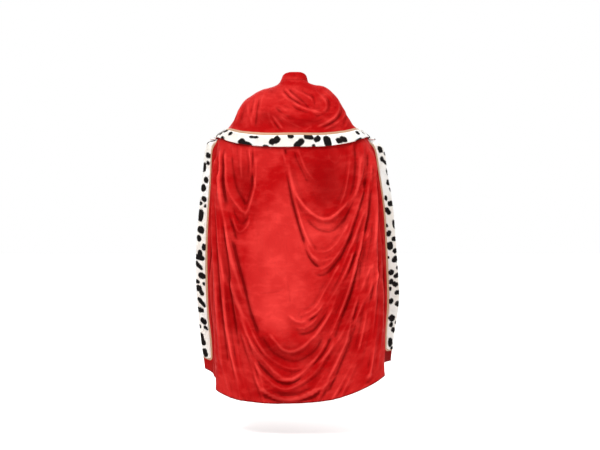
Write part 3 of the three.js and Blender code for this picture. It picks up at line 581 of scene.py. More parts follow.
class CapeStage(bpy.types.PropertyGroup):
    """The camera and the floor."""

    focal_length: millimetres("Lens", "Focal length", 68.2, 20, 200)
    camera_distance: metres("Camera distance", "From the cape's middle", 5.0)
    camera_height: metres("Camera height", "Above the neckline", -0.634)
    floor_height: metres("Floor", "The floor, below the neckline", -1.544)


def ease(low, high, value):
    """A smooth step from 0 at low to 1 at high."""
    share = np.clip((np.asarray(value, float) - low) / (high - low), 0, 1)
    return share * share * (3 - 2 * share)


def mix(a, b, share):
    return a + (b - a) * share


def through(stations, values, at):
    """A smooth line through the rows of values at rising stations."""
    stations = np.asarray(stations, float)
    values = np.asarray(values, float)
    steps = np.diff(stations)[:, None]
    slopes = np.diff(values, axis=0) / steps
    inner = (slopes[:-1] * steps[1:] + slopes[1:] * steps[:-1]) / (steps[1:] + steps[:-1])
    tangents = np.concatenate([slopes[:1], inner, slopes[-1:]])
    i = np.clip(np.searchsorted(stations, at) - 1, 0, len(stations) - 2)
    span = (stations[i + 1] - stations[i])[:, None]
    u = ((at - stations[i]) / span[:, 0])[:, None]
    return (
        values[i] * (2 * u**3 - 3 * u**2 + 1)
        + tangents[i] * span * (u**3 - 2 * u**2 + u)
        + values[i + 1] * (3 * u**2 - 2 * u**3)
        + tangents[i + 1] * span * (u**3 - u**2)
    )


def running_lengths(points):
    return np.concatenate([[0], np.cumsum(np.linalg.norm(np.diff(points, axis=0), axis=1))])


def along_line(distances, ran, values):
    """A line's values at distances along it."""
    return np.stack([np.interp(distances, ran, column) for column in values.T], axis=-1)


def unit(vectors):
    return vectors / np.linalg.norm(vectors, axis=-1, keepdims=True)


def picked(grid, rows, columns):
    """Values of a grid at fractional rows and columns."""
    r = np.clip(np.floor(rows).astype(int), 0, grid.shape[0] - 2)
    c = np.clip(np.floor(columns).astype(int), 0, grid.shape[1] - 2)
    v = (rows - r)[..., None]
    u = (columns - c)[..., None]
    top = mix(grid[r, c], grid[r, c + 1], u)
    low = mix(grid[r + 1, c], grid[r + 1, c + 1], u)
    return mix(top, low, v)


SECTION_VALUES = np.array(list(SECTIONS.values()), float)
STATIONS = running_lengths(SECTION_VALUES[:, :2])
BODY_LENGTH = STATIONS[-1]
CAPELET_LENGTH = STATIONS[CAPELET_HEM]
ERMINE_END = BODY_LENGTH - ERMINE_BARE_HEM


def side_knots(size, side):
    """One side's knots of a section, from beside the middle back to the front edge."""
    right = side < 0
    lift = size["right_up"] if right else 0
    prefix = "right_" if right else ""
    base = size["back_z"] + lift
    edge_base = size["back_z"] + EDGE_LIFT_SHARE * lift
    turn = np.array([size[prefix + "turn_x"], size["turn_y"], base + size["turn_up"]])
    fold = np.array([size[prefix + "fold_x"], size["fold_y"], base + size["fold_up"]])
    edge = np.array([size[prefix + "edge_x"], size["edge_y"], edge_base + size["edge_up"]])
    knots = []
    rise = mix(BACK_RISE, RIGHT_BACK_RISE, size["pleat"]) if right else BACK_RISE
    for degrees in BACK_KNOT_ANGLES:
        sine = math.sin(math.radians(degrees))
        cosine = math.cos(math.radians(degrees))
        along = cosine ** (2 / BACK_ROUNDNESS)
        knots.append(
            (
                turn[0] * sine ** (2 / BACK_ROUNDNESS),
                mix(turn[1], size["back_y"], along),
                mix(size["back_z"], turn[2], sine**rise),
            )
        )
    bulge = ARM_BULGE * (1 - size["pleat"])
    groove = (turn + fold) / 2
    groove[0] = mix(groove[0], min(turn[0], fold[0]) - GROOVE_BEHIND_FOLD, size["pleat"]) + bulge
    groove[2] += bulge
    # below the arm the band lies flat from the edge to the braid's inner side, where the
    # cloth goes back behind the fold
    pocket = mix(fold, edge, POCKET_SHARE)
    pocket[0] = fold[0] + POCKET_BESIDE_FOLD
    flat = BAND_REACH**2 - (edge[0] - pocket[0]) ** 2 - (edge[2] - pocket[2]) ** 2
    pocket[1] = edge[1] + math.sqrt(max(flat, POCKET_LEAST_DEPTH**2))
    inset = mix((fold + edge) / 2, pocket, size["pleat"])
    return np.array([*knots, turn, groove, fold, inset, edge]) * (side, 1, 1)


class Section:
    """The line round the cape at one station."""

    def __init__(self, station):
        row = through(STATIONS, SECTION_VALUES, np.array([station]))[0]
        size = dict(zip(SECTION_COLUMNS, row))
        back = [[0, size["back_y"], size["back_z"]]]
        knots = np.concatenate([side_knots(size, -1)[::-1], back, side_knots(size, 1)])
        chords = running_lengths(knots)
        self.points = through(chords, knots, np.linspace(0, chords[-1], SECTION_STEPS + 1))
        self.lengths = running_lengths(self.points)
        self.length = self.lengths[-1]
        scale = self.length / chords[-1]
        self.back_from = chords[FRONT_KNOTS - 1] * scale
        self.back_to = chords[-FRONT_KNOTS] * scale

    def at(self, distances):
        return along_line(distances, self.lengths, self.points)


def grid_normals(grid):
    """Outward normals of a grid whose columns run right to left and whose rows run down."""
    across = np.empty_like(grid)
    across[:, 1:-1] = grid[:, 2:] - grid[:, :-2]
    across[:, 0] = grid[:, 1] - grid[:, 0]
    across[:, -1] = grid[:, -1] - grid[:, -2]
    down = np.empty_like(grid)
    down[1:-1] = grid[2:] - grid[:-2]
    down[0] = grid[1] - grid[0]
    down[-1] = grid[-1] - grid[-2]
    return unit(np.cross(across, down))


def fold_heights(folds, across, down):
    """The height that the folds add at places seen flat: round crests between hollows."""
    shape = across.shape
    places = np.stack([across.ravel(), down.ravel()], axis=-1)
    total = np.zeros(len(places))
    for row in folds.values():
        knots = np.array(row[:10], float).reshape(5, 2)
        width, lift, lean = row[10:]
        stations = running_lengths(knots)
        line = through(stations, knots, np.linspace(0, stations[-1], FOLD_STEPS + 1))
        reach = CREASE_REACH * width
        low = line.min(axis=0) - reach
        high = line.max(axis=0) + reach
        near = np.flatnonzero(((places > low) & (places < high)).all(axis=1))
        spot = places[near]
        best = np.full(len(near), np.inf)
        along = np.zeros(len(near))
        above = np.zeros(len(near))
        for i in range(FOLD_STEPS):
            step = line[i + 1] - line[i]
            offset = spot - line[i]
            share = np.clip(offset @ step / (step @ step), 0, 1)
            away = offset - share[:, None] * step
            distance = np.hypot(away[:, 0], away[:, 1])
            closer = distance < best
            best = np.where(closer, distance, best)
            along = np.where(closer, (i + share) / FOLD_STEPS, along)
            above = np.where(closer, away[:, 1] / (distance + 1), above)
        # a leaning crest is steeper below than above, and its hollow is deeper above
        q = best / (width * (1 + lean * above))
        hollow = mix(HOLLOW_BELOW, HOLLOW_ABOVE, 0.5 + 0.5 * above)
        crest = BROAD_SHARE * (1 - hollow * q * q) * np.exp(-CREST_SHARPNESS * q * q)
        # a low swell has no line along its crest
        peak = PEAK_SHARE * float(ease(SWELL_STEEPNESS, CREST_STEEPNESS, abs(lift) / width))
        crest += peak * np.exp(-((best / PEAK_REACH) ** 2))
        fade = min(FOLD_FADE / stations[-1], FOLD_FADE_SHARE)
        total[near] += lift * crest * ease(0, fade, along) * ease(1, 1 - fade, along)
    return total.reshape(shape)


def ripples(across, down, length, lift, seed, waves=14, stretch=1.0):
    """Soft irregular undulations: seeded waves in many directions."""
    random = np.random.default_rng(seed)
    total = np.zeros_like(across)
    for _ in range(waves):
        angle = random.uniform(0, math.pi)
        wave = length * random.uniform(0.6, 1.8)
        phase = random.uniform(0, 2 * math.pi)
        run = across * math.cos(angle) + down * math.sin(angle) * stretch
        total += np.sin(run * 2 * math.pi / wave + phase) * random.uniform(0.4, 1)
    return lift * total / math.sqrt(waves)


def wandered(across, down, length, lift, seed):
    """Places moved about a little, so that what is drawn at them has an uneven outline."""
    return (
        across + ripples(across, down, length, lift, seed),
        down + ripples(across, down, length, lift, seed + 1),
    )


def neighbours(values, reach, axis):
    """A grid's values moved along one axis by each step from -reach to reach."""
    edges = [(reach, reach) if i == axis else (0, 0) for i in (0, 1)]
    padded = np.pad(values, edges, mode="edge")
    size = values.shape[axis]
    return [np.take(padded, range(i, i + size), axis=axis) for i in range(2 * reach + 1)]


def softened(values, reach):
    """The values averaged over the neighbouring rows and columns of a grid."""
    weights = np.exp(-((np.arange(-reach, reach + 1) / reach * BLUR_SHARPNESS) ** 2))
    weights /= weights.sum()
    for axis in (0, 1):
        values = sum(w * moved for w, moved in zip(weights, neighbours(values, reach, axis)))
    return values


def crease_relief(heights, reach, full):
    """How far a place stands out of its surroundings: 1 on a crest and -1 in a hollow."""
    return np.clip((heights - softened(heights, reach)) / full, -1, 1)


def lowest_around(heights):
    """The lowest height among each place of a grid and its eight neighbours."""
    for axis in (0, 1):
        heights = np.min(neighbours(heights, 1, axis), axis=0)
    return heights


class Panel:
    """A panel of cloth: its outer points, their normals and where each lies on the cut."""

    def __init__(self, grid, across, down, relief, backing=None, light_and_shade=None):
        self.grid = grid
        self.backing = backing
        self.light_and_shade = np.zeros(relief.shape) if light_and_shade is None else light_and_shade
        self.normals = grid_normals(grid)
        self.relief = relief
        self.across = across
        self.down = down

    def pick(self, rows, columns):
        """Points and normals at fractional rows and columns."""
        return picked(self.grid, rows, columns), unit(picked(self.normals, rows, columns))

    def width(self, row=-1):
        """A row's length on the cut, from edge to edge, in metres."""
        return round((self.across[row, -1] - self.across[row, 0]) * METRES, 3)

    def area(self):
        """The cut's flat area in square metres, from the widths of its rows."""
        widths = self.across[:, -1] - self.across[:, 0]
        downs = self.down[:, self.down.shape[1] // 2]
        strips = (widths[1:] + widths[:-1]) / 2 * np.abs(np.diff(downs))
        return round(float(strips.sum()) * METRES * METRES, 4)


def body_distances(cut, station):
    """Where the body's columns lie round a section: even at the neckline, and below the
    trims' tops on the trims' own lines and denser over the back."""
    length = cut.length
    flank = np.linspace(TRIM_WIDTH, cut.back_from, FLANK_COLUMNS + 1)[1:]
    back = np.linspace(cut.back_from, cut.back_to, BACK_COLUMNS + 1)[1:]
    other = np.linspace(cut.back_to, length - TRIM_WIDTH, FLANK_COLUMNS + 1)[1:]
    placed = np.concatenate([TRIM_LINES, flank, back, other, (length - TRIM_LINES[:-1])[::-1]])
    even = np.linspace(0, length, len(placed))
    return mix(even, placed, float(ease(0, ERMINE_TOP, station)))


def body_stations():
    skirt_top = CAPELET_LENGTH - SKIRT_ABOVE_HEM
    neck = np.linspace(SEAM_GAP, ERMINE_TOP, NECK_ROWS, endpoint=False)
    yoke = np.linspace(ERMINE_TOP, skirt_top, YOKE_ROWS, endpoint=False)
    skirt = np.linspace(skirt_top, ERMINE_END, SKIRT_ROWS)
    return np.concatenate([neck, yoke, skirt, ERMINE_END + np.array(HEM_ROWS)])


def painted_light_and_shade(zones, across, down):
    """How much lighter (up to 1) or darker (down to -1) the broad zones of painted light and shade make the
    velvet.
    """
    bent_across, bent_down = wandered(across, down, **LIGHT_ZONE_WANDER)
    total = np.zeros_like(across)
    for x, z, half_width, half_height, lie in zones.values():
        q = ((bent_across - x) / half_width) ** 2 + ((bent_down - z) / half_height) ** 2
        total += lie * np.exp(-ZONE_SHARPNESS * q)
    return np.clip(total, -1, 1)


def past_both(low, high, distances):
    """A smooth step past a range, at the distances from the right and from the left."""
    from_right, from_left = distances
    return ease(low, high, from_right) * ease(low, high, from_left)


def make_body_panel():
    """The long cape body with its large folds, fine creases and rolled hem."""
    stations = body_stations()
    cuts = [Section(station) for station in stations]
    distances = np.array([body_distances(cut, s) for cut, s in zip(cuts, stations)])
    base = np.array([cut.at(d) for cut, d in zip(cuts, distances)])
    seen = (base[..., 0], base[..., 2])
    down = np.repeat(stations[:, None], base.shape[1], axis=1)
    lengths, back_from, back_to = np.array([(c.length, c.back_from, c.back_to) for c in cuts]).T[..., None]
    across = distances - lengths / 2
    from_end = BODY_LENGTH - down
    # each pair is measured from the right and from the left: in from the front edges, and
    # past the turns
    from_edges = (distances, lengths - distances)
    past_turns = (distances - back_from, back_to - distances)
    behind = past_both(*BEHIND, past_turns)
    off_trim = past_both(*OFF_TRIM, from_edges)
    creased = ease(*CREASES_FROM, down)

    below = ease(CAPELET_LENGTH, CAPELET_LENGTH + FOLDS_START_BELOW, down)
    heights = below * past_both(*ON_BACK, past_turns) * fold_heights(BODY_FOLDS, *seen)
    heights += creased * behind * fold_heights(BODY_CREASES, *seen)
    sides = fold_heights(SIDE_CREASES, from_edges[1], down)
    sides += fold_heights(SIDE_CREASES, from_edges[0] - SIDE_CREASES_RIGHT_SHIFT, down)
    heights += creased * off_trim * (1 - SIDE_CREASES_HIDDEN * behind) * sides
    heights += creased * off_trim * ripples(across, down, **UNEVEN["body_broad"])
    heights += creased * behind * ripples(across, down, **UNEVEN["body_fine"])
    # the crease relief is the mask for painted highlights on the crests and painted shade in the hollows
    relief = crease_relief(heights, *BODY_RELIEF)

    # the hem is turned up once and stitched
    heights += HEM_ROLL * ease(HEM_DEPTH + HEM_TURN_HALF, HEM_DEPTH - HEM_TURN_HALF, from_end)
    from_stitch = from_end - HEM_DEPTH + STITCH_BELOW_TURN
    heights -= STITCH_DIP * np.exp(-((from_stitch / STITCH_HALF) ** 2))
    normals = grid_normals(base)
    grid = base + normals * heights[..., None]
    backing = base + normals * lowest_around(heights)[..., None]

    # the cloth between the braids and the turns lies in shade, and so do the bare corners
    below_arms = ease(CAPELET_LENGTH, CAPELET_LENGTH + BELOW_ARMS, down)
    recess = sum(
        ease(*RECESS_AT_TURN, turn) * ease(*RECESS_AT_BRAID, edge)
        for turn, edge in zip(past_turns, from_edges)
    )
    corner = ease(*CORNER_TOP, from_end)
    right_corner, left_corner = (corner * ease(*CORNER_SIDE, edge) for edge in from_edges)
    relief = np.where(from_end < HEM_EDGE, -HEM_EDGE_SHADE, relief)
    relief = np.minimum(relief, mix(1, -RIGHT_CORNER_SHADE, right_corner))
    # broad zones of painted light and shade on the back
    light_and_shade = painted_light_and_shade(PAINTED_LIGHT_ZONES, *seen) * behind
    light_and_shade -= FLANK_SHADE * below_arms * recess + LEFT_CORNER_SHADE * left_corner + right_corner
    return Panel(grid, across, down, relief, backing, light_and_shade)


def make_capelet_panel():
    """The capelet, laid over the body's shoulders. Its rows are measured up from its hem."""
    stations = np.linspace(CAPELET_START, CAPELET_LENGTH, CAPELET_STATIONS)
    cuts = [Section(station) for station in stations]
    share = np.linspace(0, 1, CAPELET_COLUMNS + 1)
    dense = np.array(
        [cut.at(mix(CAPELET_EDGE_SETBACK, cut.length - CAPELET_EDGE_SETBACK, share)) for cut in cuts]
    )
    seen = (dense[..., 0], dense[..., 2])
    down = np.repeat(stations[:, None], len(share), axis=1)
    lengths = np.array([cut.length for cut in cuts])[:, None]
    across = (share[None, :] - 0.5) * lengths
    on_shoulder = ease(0, NECK_TO_SHOULDER, down)
    flared = ease(FLARE_START, CAPELET_LENGTH, down)
    behind = ease(CAPELET_FOLDS_FRONT, CAPELET_FOLDS_FULL, dense[..., 1])
    folds = CAPELET_FOLD_SHARE * fold_heights(CAPELET_FOLDS, *seen)
    folds += CAPELET_CREASE_SHARE * fold_heights(CAPELET_CREASES, *seen)
    folds += ease(*CAPELET_UNEVEN_FROM, down) * ripples(across, down, **UNEVEN["capelet"])
    front = ease(*CAPELET_FRONT_UNEVEN_FROM, down) * ripples(across, down, **UNEVEN["capelet_front"])
    lift = mix(mix(EASE_AT_NECK, EASE_OVER_SHOULDER, on_shoulder), EASE_AT_HEM, flared)
    lift = lift + np.maximum(CAPELET_HOLLOW_LIMIT * on_shoulder, behind * folds + (1 - behind) * front)
    lifted = dense + grid_normals(dense) * lift[..., None]
    # the capelet's crease relief, the mask for painted highlights on its crests and painted shade in its
    # hollows
    relief_shading = crease_relief(lift, *CAPELET_RELIEF)
    # broad zones of painted light and shade on the capelet
    laid = painted_light_and_shade(CAPELET_PAINTED_LIGHT_ZONES, *seen) * behind
    # each column is laid out anew by its distance up from the hem
    layers = np.concatenate([lifted, np.stack([relief_shading, laid, across], axis=-1)], axis=-1)[::-1]
    made = np.empty((len(CAPELET_BAND_LINES) + CAPELET_UPPER_ROWS, len(share), layers.shape[-1]))
    cut_down = np.empty(made.shape[:2])
    for column in range(len(share)):
        ran = running_lengths(layers[:, column, :3])
        upper = np.linspace(TRIM_WIDTH, ran[-1], CAPELET_UPPER_ROWS + 1)[1:]
        rows = np.concatenate([CAPELET_BAND_LINES, upper])[::-1]
        made[:, column] = along_line(rows, ran, layers[:, column])
        cut_down[:, column] = CAPELET_LENGTH - rows
    relief, light_and_shade, cut_across = np.moveaxis(made[..., 3:], -1, 0)
    return Panel(made[..., :3], cut_across, cut_down, relief, light_and_shade=light_and_shade)


def make_collar_panel():
    """The stand collar, creased where it meets the neck seam. Its rows run down."""
    cut = Section(0)
    share = np.linspace(0, 1, COLLAR_COLUMNS + 1)
    points = cut.at(share * cut.length)
    up = np.linspace(1, 0, COLLAR_ROWS)[:, None]
    lean = mix(1, COLLAR_TOP_SHARE, up)
    across = np.repeat((share[None, :] - 0.5) * cut.length, COLLAR_ROWS, axis=0)
    down = np.repeat((1 - up) * COLLAR_HEIGHT, len(share), axis=1)
    grid = np.empty((COLLAR_ROWS, len(share), 3))
    grid[..., 0] = points[:, 0] * lean + COLLAR_TOP_SHIFT * up
    grid[..., 1] = points[:, 1] * lean
    grid[..., 2] = points[:, 2] + SEAM_GAP + COLLAR_HEIGHT * up
    grid[-1, :, 2] -= COLLAR_SUNK
    middle = np.sin(np.pi * np.clip(up, 0, 1))
    dents = ripples(across, down, **UNEVEN["collar"]) * middle
    grid = grid + grid_normals(grid) * dents[..., None]
    # the dents' heights are the mask for painted highlights where they rise and painted shade where they
    # sink
    return Panel(grid, across, down, np.clip(dents, -1, 1) * COLLAR_RELIEF_SHARE)


PANELS = {}


def panel(name):
    """A cut panel, worked out the first time that it is asked for."""
    makers = {"body": make_body_panel, "capelet": make_capelet_panel, "collar": make_collar_panel}
    if name not in PANELS:
        PANELS[name] = makers[name]()
    return PANELS[name]


def shell(outer, inner):
    """Vertices, faces and the inner faces' mark of a closed wall between two grids."""
    rows, columns = outer.shape[:2]
    count = rows * columns
    index = np.arange(count).reshape(rows, columns)
    front = quad_faces(index)
    rim = rim_of(index)
    following = np.roll(rim, -1)
    edge = np.stack([following, rim, rim + count, following + count], axis=1)
    faces = np.concatenate([front, front[:, ::-1] + count, edge])
    marks = np.zeros(len(faces), int)
    marks[len(front) : 2 * len(front)] = 1
    return np.concatenate([outer.reshape(-1, 3), inner.reshape(-1, 3)]), faces, marks


def coarse_backed_shell(outer, inner):
    """A closed wall whose inner grid has half the outer one's rows and columns. Each face of
    its rim has two steps of the outer edge and one of the inner."""
    rows, columns = outer.shape[:2]
    index = np.arange(rows * columns).reshape(rows, columns)
    half = inner[::2, ::2]
    back = np.arange(half.shape[0] * half.shape[1]).reshape(half.shape[:2]) + rows * columns
    faces = [quad_faces(index), quad_faces(back)[:, ::-1]]
    marks = np.repeat((0, 1), [len(f) for f in faces])
    around = rim_of(index)
    steps = rim_of(back)
    outer_corners = [np.roll(around, -2)[::2], np.roll(around, -1)[::2], around[::2]]
    rim = np.stack([*outer_corners, steps, np.roll(steps, -1)], axis=1)
    marks = np.concatenate([marks, np.zeros(len(rim), int)])
    vertices = np.concatenate([outer.reshape(-1, 3), half.reshape(-1, 3)])
    return vertices, faces[0].tolist() + faces[1].tolist() + rim.tolist(), marks


def quad_faces(index):
    corners = (index[:-1, :-1], index[:-1, 1:], index[1:, 1:], index[1:, :-1])
    return np.stack([corner.ravel() for corner in corners], axis=1)


def rim_of(index):
    return np.concatenate([index[0], index[1:, -1], index[-1, -2::-1], index[-2:0:-1, 0]])


def add_piece(name, vertices, faces, materials, marks=None, cut=None, values=None):
    """A smooth-shaded mesh object in metres, with its place on the cut as a UV map."""
    mesh = bpy.data.meshes.new(name)
    faces = faces if isinstance(faces, list) else faces.tolist()
    mesh.from_pydata((np.asarray(vertices) * METRES).tolist(), [], faces)
    for material in materials:
        mesh.materials.append(material)
    if marks is not None:
        mesh.polygons.foreach_set("material_index", marks.astype(np.int32))
    mesh.polygons.foreach_set("use_smooth", np.ones(len(mesh.polygons), dtype=bool))
    if cut is not None:
        layer = mesh.uv_layers.new(name="cut")
        corners = np.empty(len(mesh.loops), dtype=np.int32)
        mesh.loops.foreach_get("vertex_index", corners)
        layer.uv.foreach_set("vector", (cut[corners] * METRES).astype(np.float32).ravel())
    for key, column in (values or {}).items():
        layer = mesh.attributes.new(key, "FLOAT", "POINT")
        layer.data.foreach_set("value", np.asarray(column, np.float32))
    mesh.validate()
    mesh.update()
    piece = bpy.data.objects.new(name, mesh)
    bpy.context.scene.collection.objects.link(piece)
    return piece


def place_piece(piece, slot, *nodes):
    """Rides a piece on the cape's one body and hides what it stands for."""
    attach(piece, "root")
    if nodes:
        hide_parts(*nodes)


def both_sides(made, step=1):
    """The cut's places for the outer vertices of a shell and for every inner one."""
    flat = np.stack([made.across, -made.down], axis=-1)
    return np.concatenate([flat.reshape(-1, 2), flat[::step, ::step].reshape(-1, 2)])


def relief_values(made, step=1):
    """The outer vertices' crease relief, its opposite for the inner ones, and the painted light and shade:
    the masks of the velvet's painted highlights and shade.
    """
    inner = -made.relief[::step, ::step].ravel()
    light_and_shade = np.concatenate([made.light_and_shade.ravel(), made.light_and_shade[::step, ::step].ravel()])
    return {"crease_relief": np.concatenate([made.relief.ravel(), inner]), "painted_light_and_shade": light_and_shade}


def cape_settings(context):
    scene = context.scene
    return scene.cape_sizes, scene.cape_colours, scene.cape_stage


def new_group(name, inputs, outputs):
    """An empty shader node group with named sockets and its two end nodes."""
    group = bpy.data.node_groups.new(name, "ShaderNodeTree")
    for socket, kind, default in inputs:
        made = group.interface.new_socket(socket, in_out="INPUT", socket_type=kind)
        if default is not None:
            made.default_value = default
    for socket, kind in outputs:
        group.interface.new_socket(socket, in_out="OUTPUT", socket_type=kind)
    return group, group.nodes.new("NodeGroupInput"), group.nodes.new("NodeGroupOutput")


def add_node(tree, kind, settings=None, inputs=None):
    """A node with its settings, and its inputs linked or set."""
    node = tree.nodes.new(kind)
    for key, value in (settings or {}).items():
        setattr(node, key, value)
    for key, value in (inputs or {}).items():
        if isinstance(value, bpy.types.NodeSocket):
            tree.links.new(value, node.inputs[key])
        else:
            node.inputs[key].default_value = value
    return node


def math_node(tree, operation, *values):
    return add_node(tree, "ShaderNodeMath", {"operation": operation}, dict(enumerate(values))).outputs[0]


def cut_places(tree):
    return add_node(tree, "ShaderNodeUVMap", {"uv_map": "cut"}).outputs["UV"]


def point_value(tree, name):
    return add_node(tree, "ShaderNodeAttribute", {"attribute_name": name}).outputs["Fac"]


def add_bump(tree, strength, distance, height, below=None):
    """A bump's normal, laid over the one below it."""
    inputs = {"Strength": strength, "Distance": distance, "Height": height}
    if below is not None:
        inputs["Normal"] = below
    return add_node(tree, "ShaderNodeBump", None, inputs).outputs[0]


def range_node(tree, value, low, high, to_low=0.0, to_high=1.0):
    """The value moved from one range to another and clamped, with smooth ends."""
    node = add_node(
        tree,
        "ShaderNodeMapRange",
        {"interpolation_type": "SMOOTHSTEP"},
        {"Value": value, "From Min": low, "From Max": high, "To Min": to_low, "To Max": to_high},
    )
    return node.outputs["Result"]


def crushed_pile_group():
    """Crushed pile: flecks that lie across the cloth, softer clouds, and the pile's height."""
    group, given, out = new_group(
        "Crushed pile",
        [("Place", "NodeSocketVector", None), ("Fleck Size", "NodeSocketFloat", 0.02)],
        [("Flecks", "NodeSocketFloat"), ("Clouds", "NodeSocketFloat"), ("Height", "NodeSocketFloat")],
    )
    scale = math_node(group, "DIVIDE", 1.0, given.outputs["Fleck Size"])
    warp = add_node(
        group, "ShaderNodeTexNoise", None,
        {"Vector": given.outputs["Place"], "Scale": 14.0, "Detail": 2.0},
    )
    bent = add_node(
        group, "ShaderNodeVectorMath", {"operation": "MULTIPLY_ADD"},
        {0: warp.outputs["Color"], 1: (0.03, 0.03, 0.03), 2: given.outputs["Place"]},
    )
    laid = add_node(
        group, "ShaderNodeMapping", None, {"Vector": bent.outputs[0], "Scale": (0.62, 1.25, 1.0)}
    )
    flecks = add_node(
        group, "ShaderNodeTexNoise", None,
        {"Vector": laid.outputs[0], "Scale": scale, "Detail": 2.5, "Roughness": 0.5},
    )
    clouds = add_node(
        group, "ShaderNodeTexNoise", None,
        {"Vector": bent.outputs[0], "Scale": math_node(group, "MULTIPLY", scale, 0.22), "Detail": 2.0},
    )
    masked = range_node(group, flecks.outputs["Fac"], 0.42, 0.72)
    cloudy = range_node(group, clouds.outputs["Fac"], 0.4, 0.62)
    group.links.new(masked, out.inputs["Flecks"])
    group.links.new(cloudy, out.inputs["Clouds"])
    group.links.new(flecks.outputs["Fac"], out.inputs["Height"])
    return group


def fibre_grain_group():
    """Short fibres: fine noise drawn out along the cloth, as a height and a tint."""
    group, given, out = new_group(
        "Fibre grain",
        [
            ("Place", "NodeSocketVector", None),
            ("Fibre Size", "NodeSocketFloat", 0.001),
            ("Draw", "NodeSocketFloat", 3.0),
        ],
        [("Height", "NodeSocketFloat"), ("Tint", "NodeSocketFloat")],
    )
    scale = math_node(group, "DIVIDE", 1.0, given.outputs["Fibre Size"])
    drawn = add_node(group, "ShaderNodeCombineXYZ", None, {"X": given.outputs["Draw"], "Y": 1.0, "Z": 1.0})
    laid = add_node(
        group, "ShaderNodeVectorMath", {"operation": "MULTIPLY"},
        {0: given.outputs["Place"], 1: drawn.outputs[0]},
    )
    fine = add_node(
        group, "ShaderNodeTexNoise", None,
        {"Vector": laid.outputs[0], "Scale": scale, "Detail": 4.0, "Roughness": 0.6},
    )
    group.links.new(fine.outputs["Fac"], out.inputs["Height"])
    group.links.new(range_node(group, fine.outputs["Fac"], 0.35, 0.65), out.inputs["Tint"])
    return group


def shared_group(name):
    """One of the node groups, built the first time that it is asked for."""
    builders = {"Crushed pile": crushed_pile_group, "Fibre grain": fibre_grain_group}
    return bpy.data.node_groups.get(name) or builders[name]()


def place_group(tree, name, inputs):
    return add_node(tree, "ShaderNodeGroup", {"node_tree": shared_group(name)}, inputs)


def new_material(name, constants):
    """A material with a Principled shader whose even values stay on its own sockets."""
    material = bpy.data.materials.new(name)
    material.use_nodes = True
    shader = material.node_tree.nodes["Principled BSDF"]
    for key, value in constants.items():
        shader.inputs[key].default_value = value
    return material, material.node_tree, shader


def colour_mix(tree, share, low, high):
    inputs = {0: share}
    for key, value in ((6, low), (7, high)):
        inputs[key] = value if isinstance(value, bpy.types.NodeSocket) else (*value[:3], 1)
    return add_node(tree, "ShaderNodeMix", {"data_type": "RGBA"}, inputs).outputs[2]


def shade_of(colour, factor):
    return tuple(min(1.0, channel * factor) for channel in colour[:3])


def velvet_material(name, colours):
    """Panne velvet: its pile is crushed in soft flecks, with painted highlights on the crests of the folds
    and painted shade in their hollows, broad zones, recesses and corners.
    """
    material, tree, shader = new_material(
        name,
        {
            "Specular IOR Level": 0.02,
            "Specular Tint": (1, 0.2, 0.16, 1),
            "Sheen Weight": 0.16,
            "Sheen Roughness": 0.4,
            "Sheen Tint": (1, 0.1, 0.08, 1),
        },
    )
    cut = cut_places(tree)
    pile = place_group(tree, "Crushed pile", {"Place": cut, "Fleck Size": 0.03})
    grain = place_group(tree, "Fibre grain", {"Place": cut, "Fibre Size": 0.0012, "Draw": 2.4})
    relief = point_value(tree, "crease_relief")
    light_and_shade = point_value(tree, "painted_light_and_shade")
    # painted highlights on the crests and painted shade in the hollows, from the crease relief
    crest = range_node(tree, relief, 0.05, 0.9)
    hollow = range_node(tree, relief, -0.05, -0.75)
    crush_and_painted_light = math_node(tree, "MULTIPLY", pile.outputs["Flecks"], VELVET_FLECKS)
    crush_and_painted_light = math_node(tree, "MULTIPLY_ADD", pile.outputs["Clouds"], VELVET_CLOUDS, crush_and_painted_light)
    crush_and_painted_light = math_node(tree, "MULTIPLY_ADD", crest, VELVET_CREST_HIGHLIGHT, crush_and_painted_light)
    # painted light in the lighter zones, and painted shade in the darker zones, the recesses and the
    # corners
    crush_and_painted_light = math_node(tree, "MULTIPLY_ADD", range_node(tree, light_and_shade, 0, 1), VELVET_PAINTED_LIGHT, crush_and_painted_light)
    tone = colour_mix(tree, crush_and_painted_light, colours.velvet, colours.velvet_light)
    painted_shade = math_node(tree, "MULTIPLY", range_node(tree, light_and_shade, 0, -1), VELVET_PAINTED_SHADE)
    tone = colour_mix(tree, painted_shade, tone, colours.velvet_dark)
    shaded = math_node(tree, "MULTIPLY", hollow, VELVET_HOLLOW_SHADE)
    tone = colour_mix(tree, shaded, tone, shade_of(colours.velvet, VELVET_HOLLOW_SHADE_COLOUR))
    fibres = math_node(tree, "MULTIPLY", grain.outputs["Tint"], VELVET_FIBRES)
    tone = colour_mix(tree, fibres, tone, colours.velvet_dark)
    tree.links.new(tone, shader.inputs["Base Color"])
    smooth = math_node(tree, "ADD", pile.outputs["Flecks"], crest)
    tree.links.new(range_node(tree, smooth, 0, 1.4, 0.62, 0.46), shader.inputs["Roughness"])
    soft = add_bump(tree, 0.4, 0.002, pile.outputs["Height"])
    fine = add_bump(tree, 0.25, 0.0004, grain.outputs["Height"], soft)
    tree.links.new(fine, shader.inputs["Normal"])
    return material


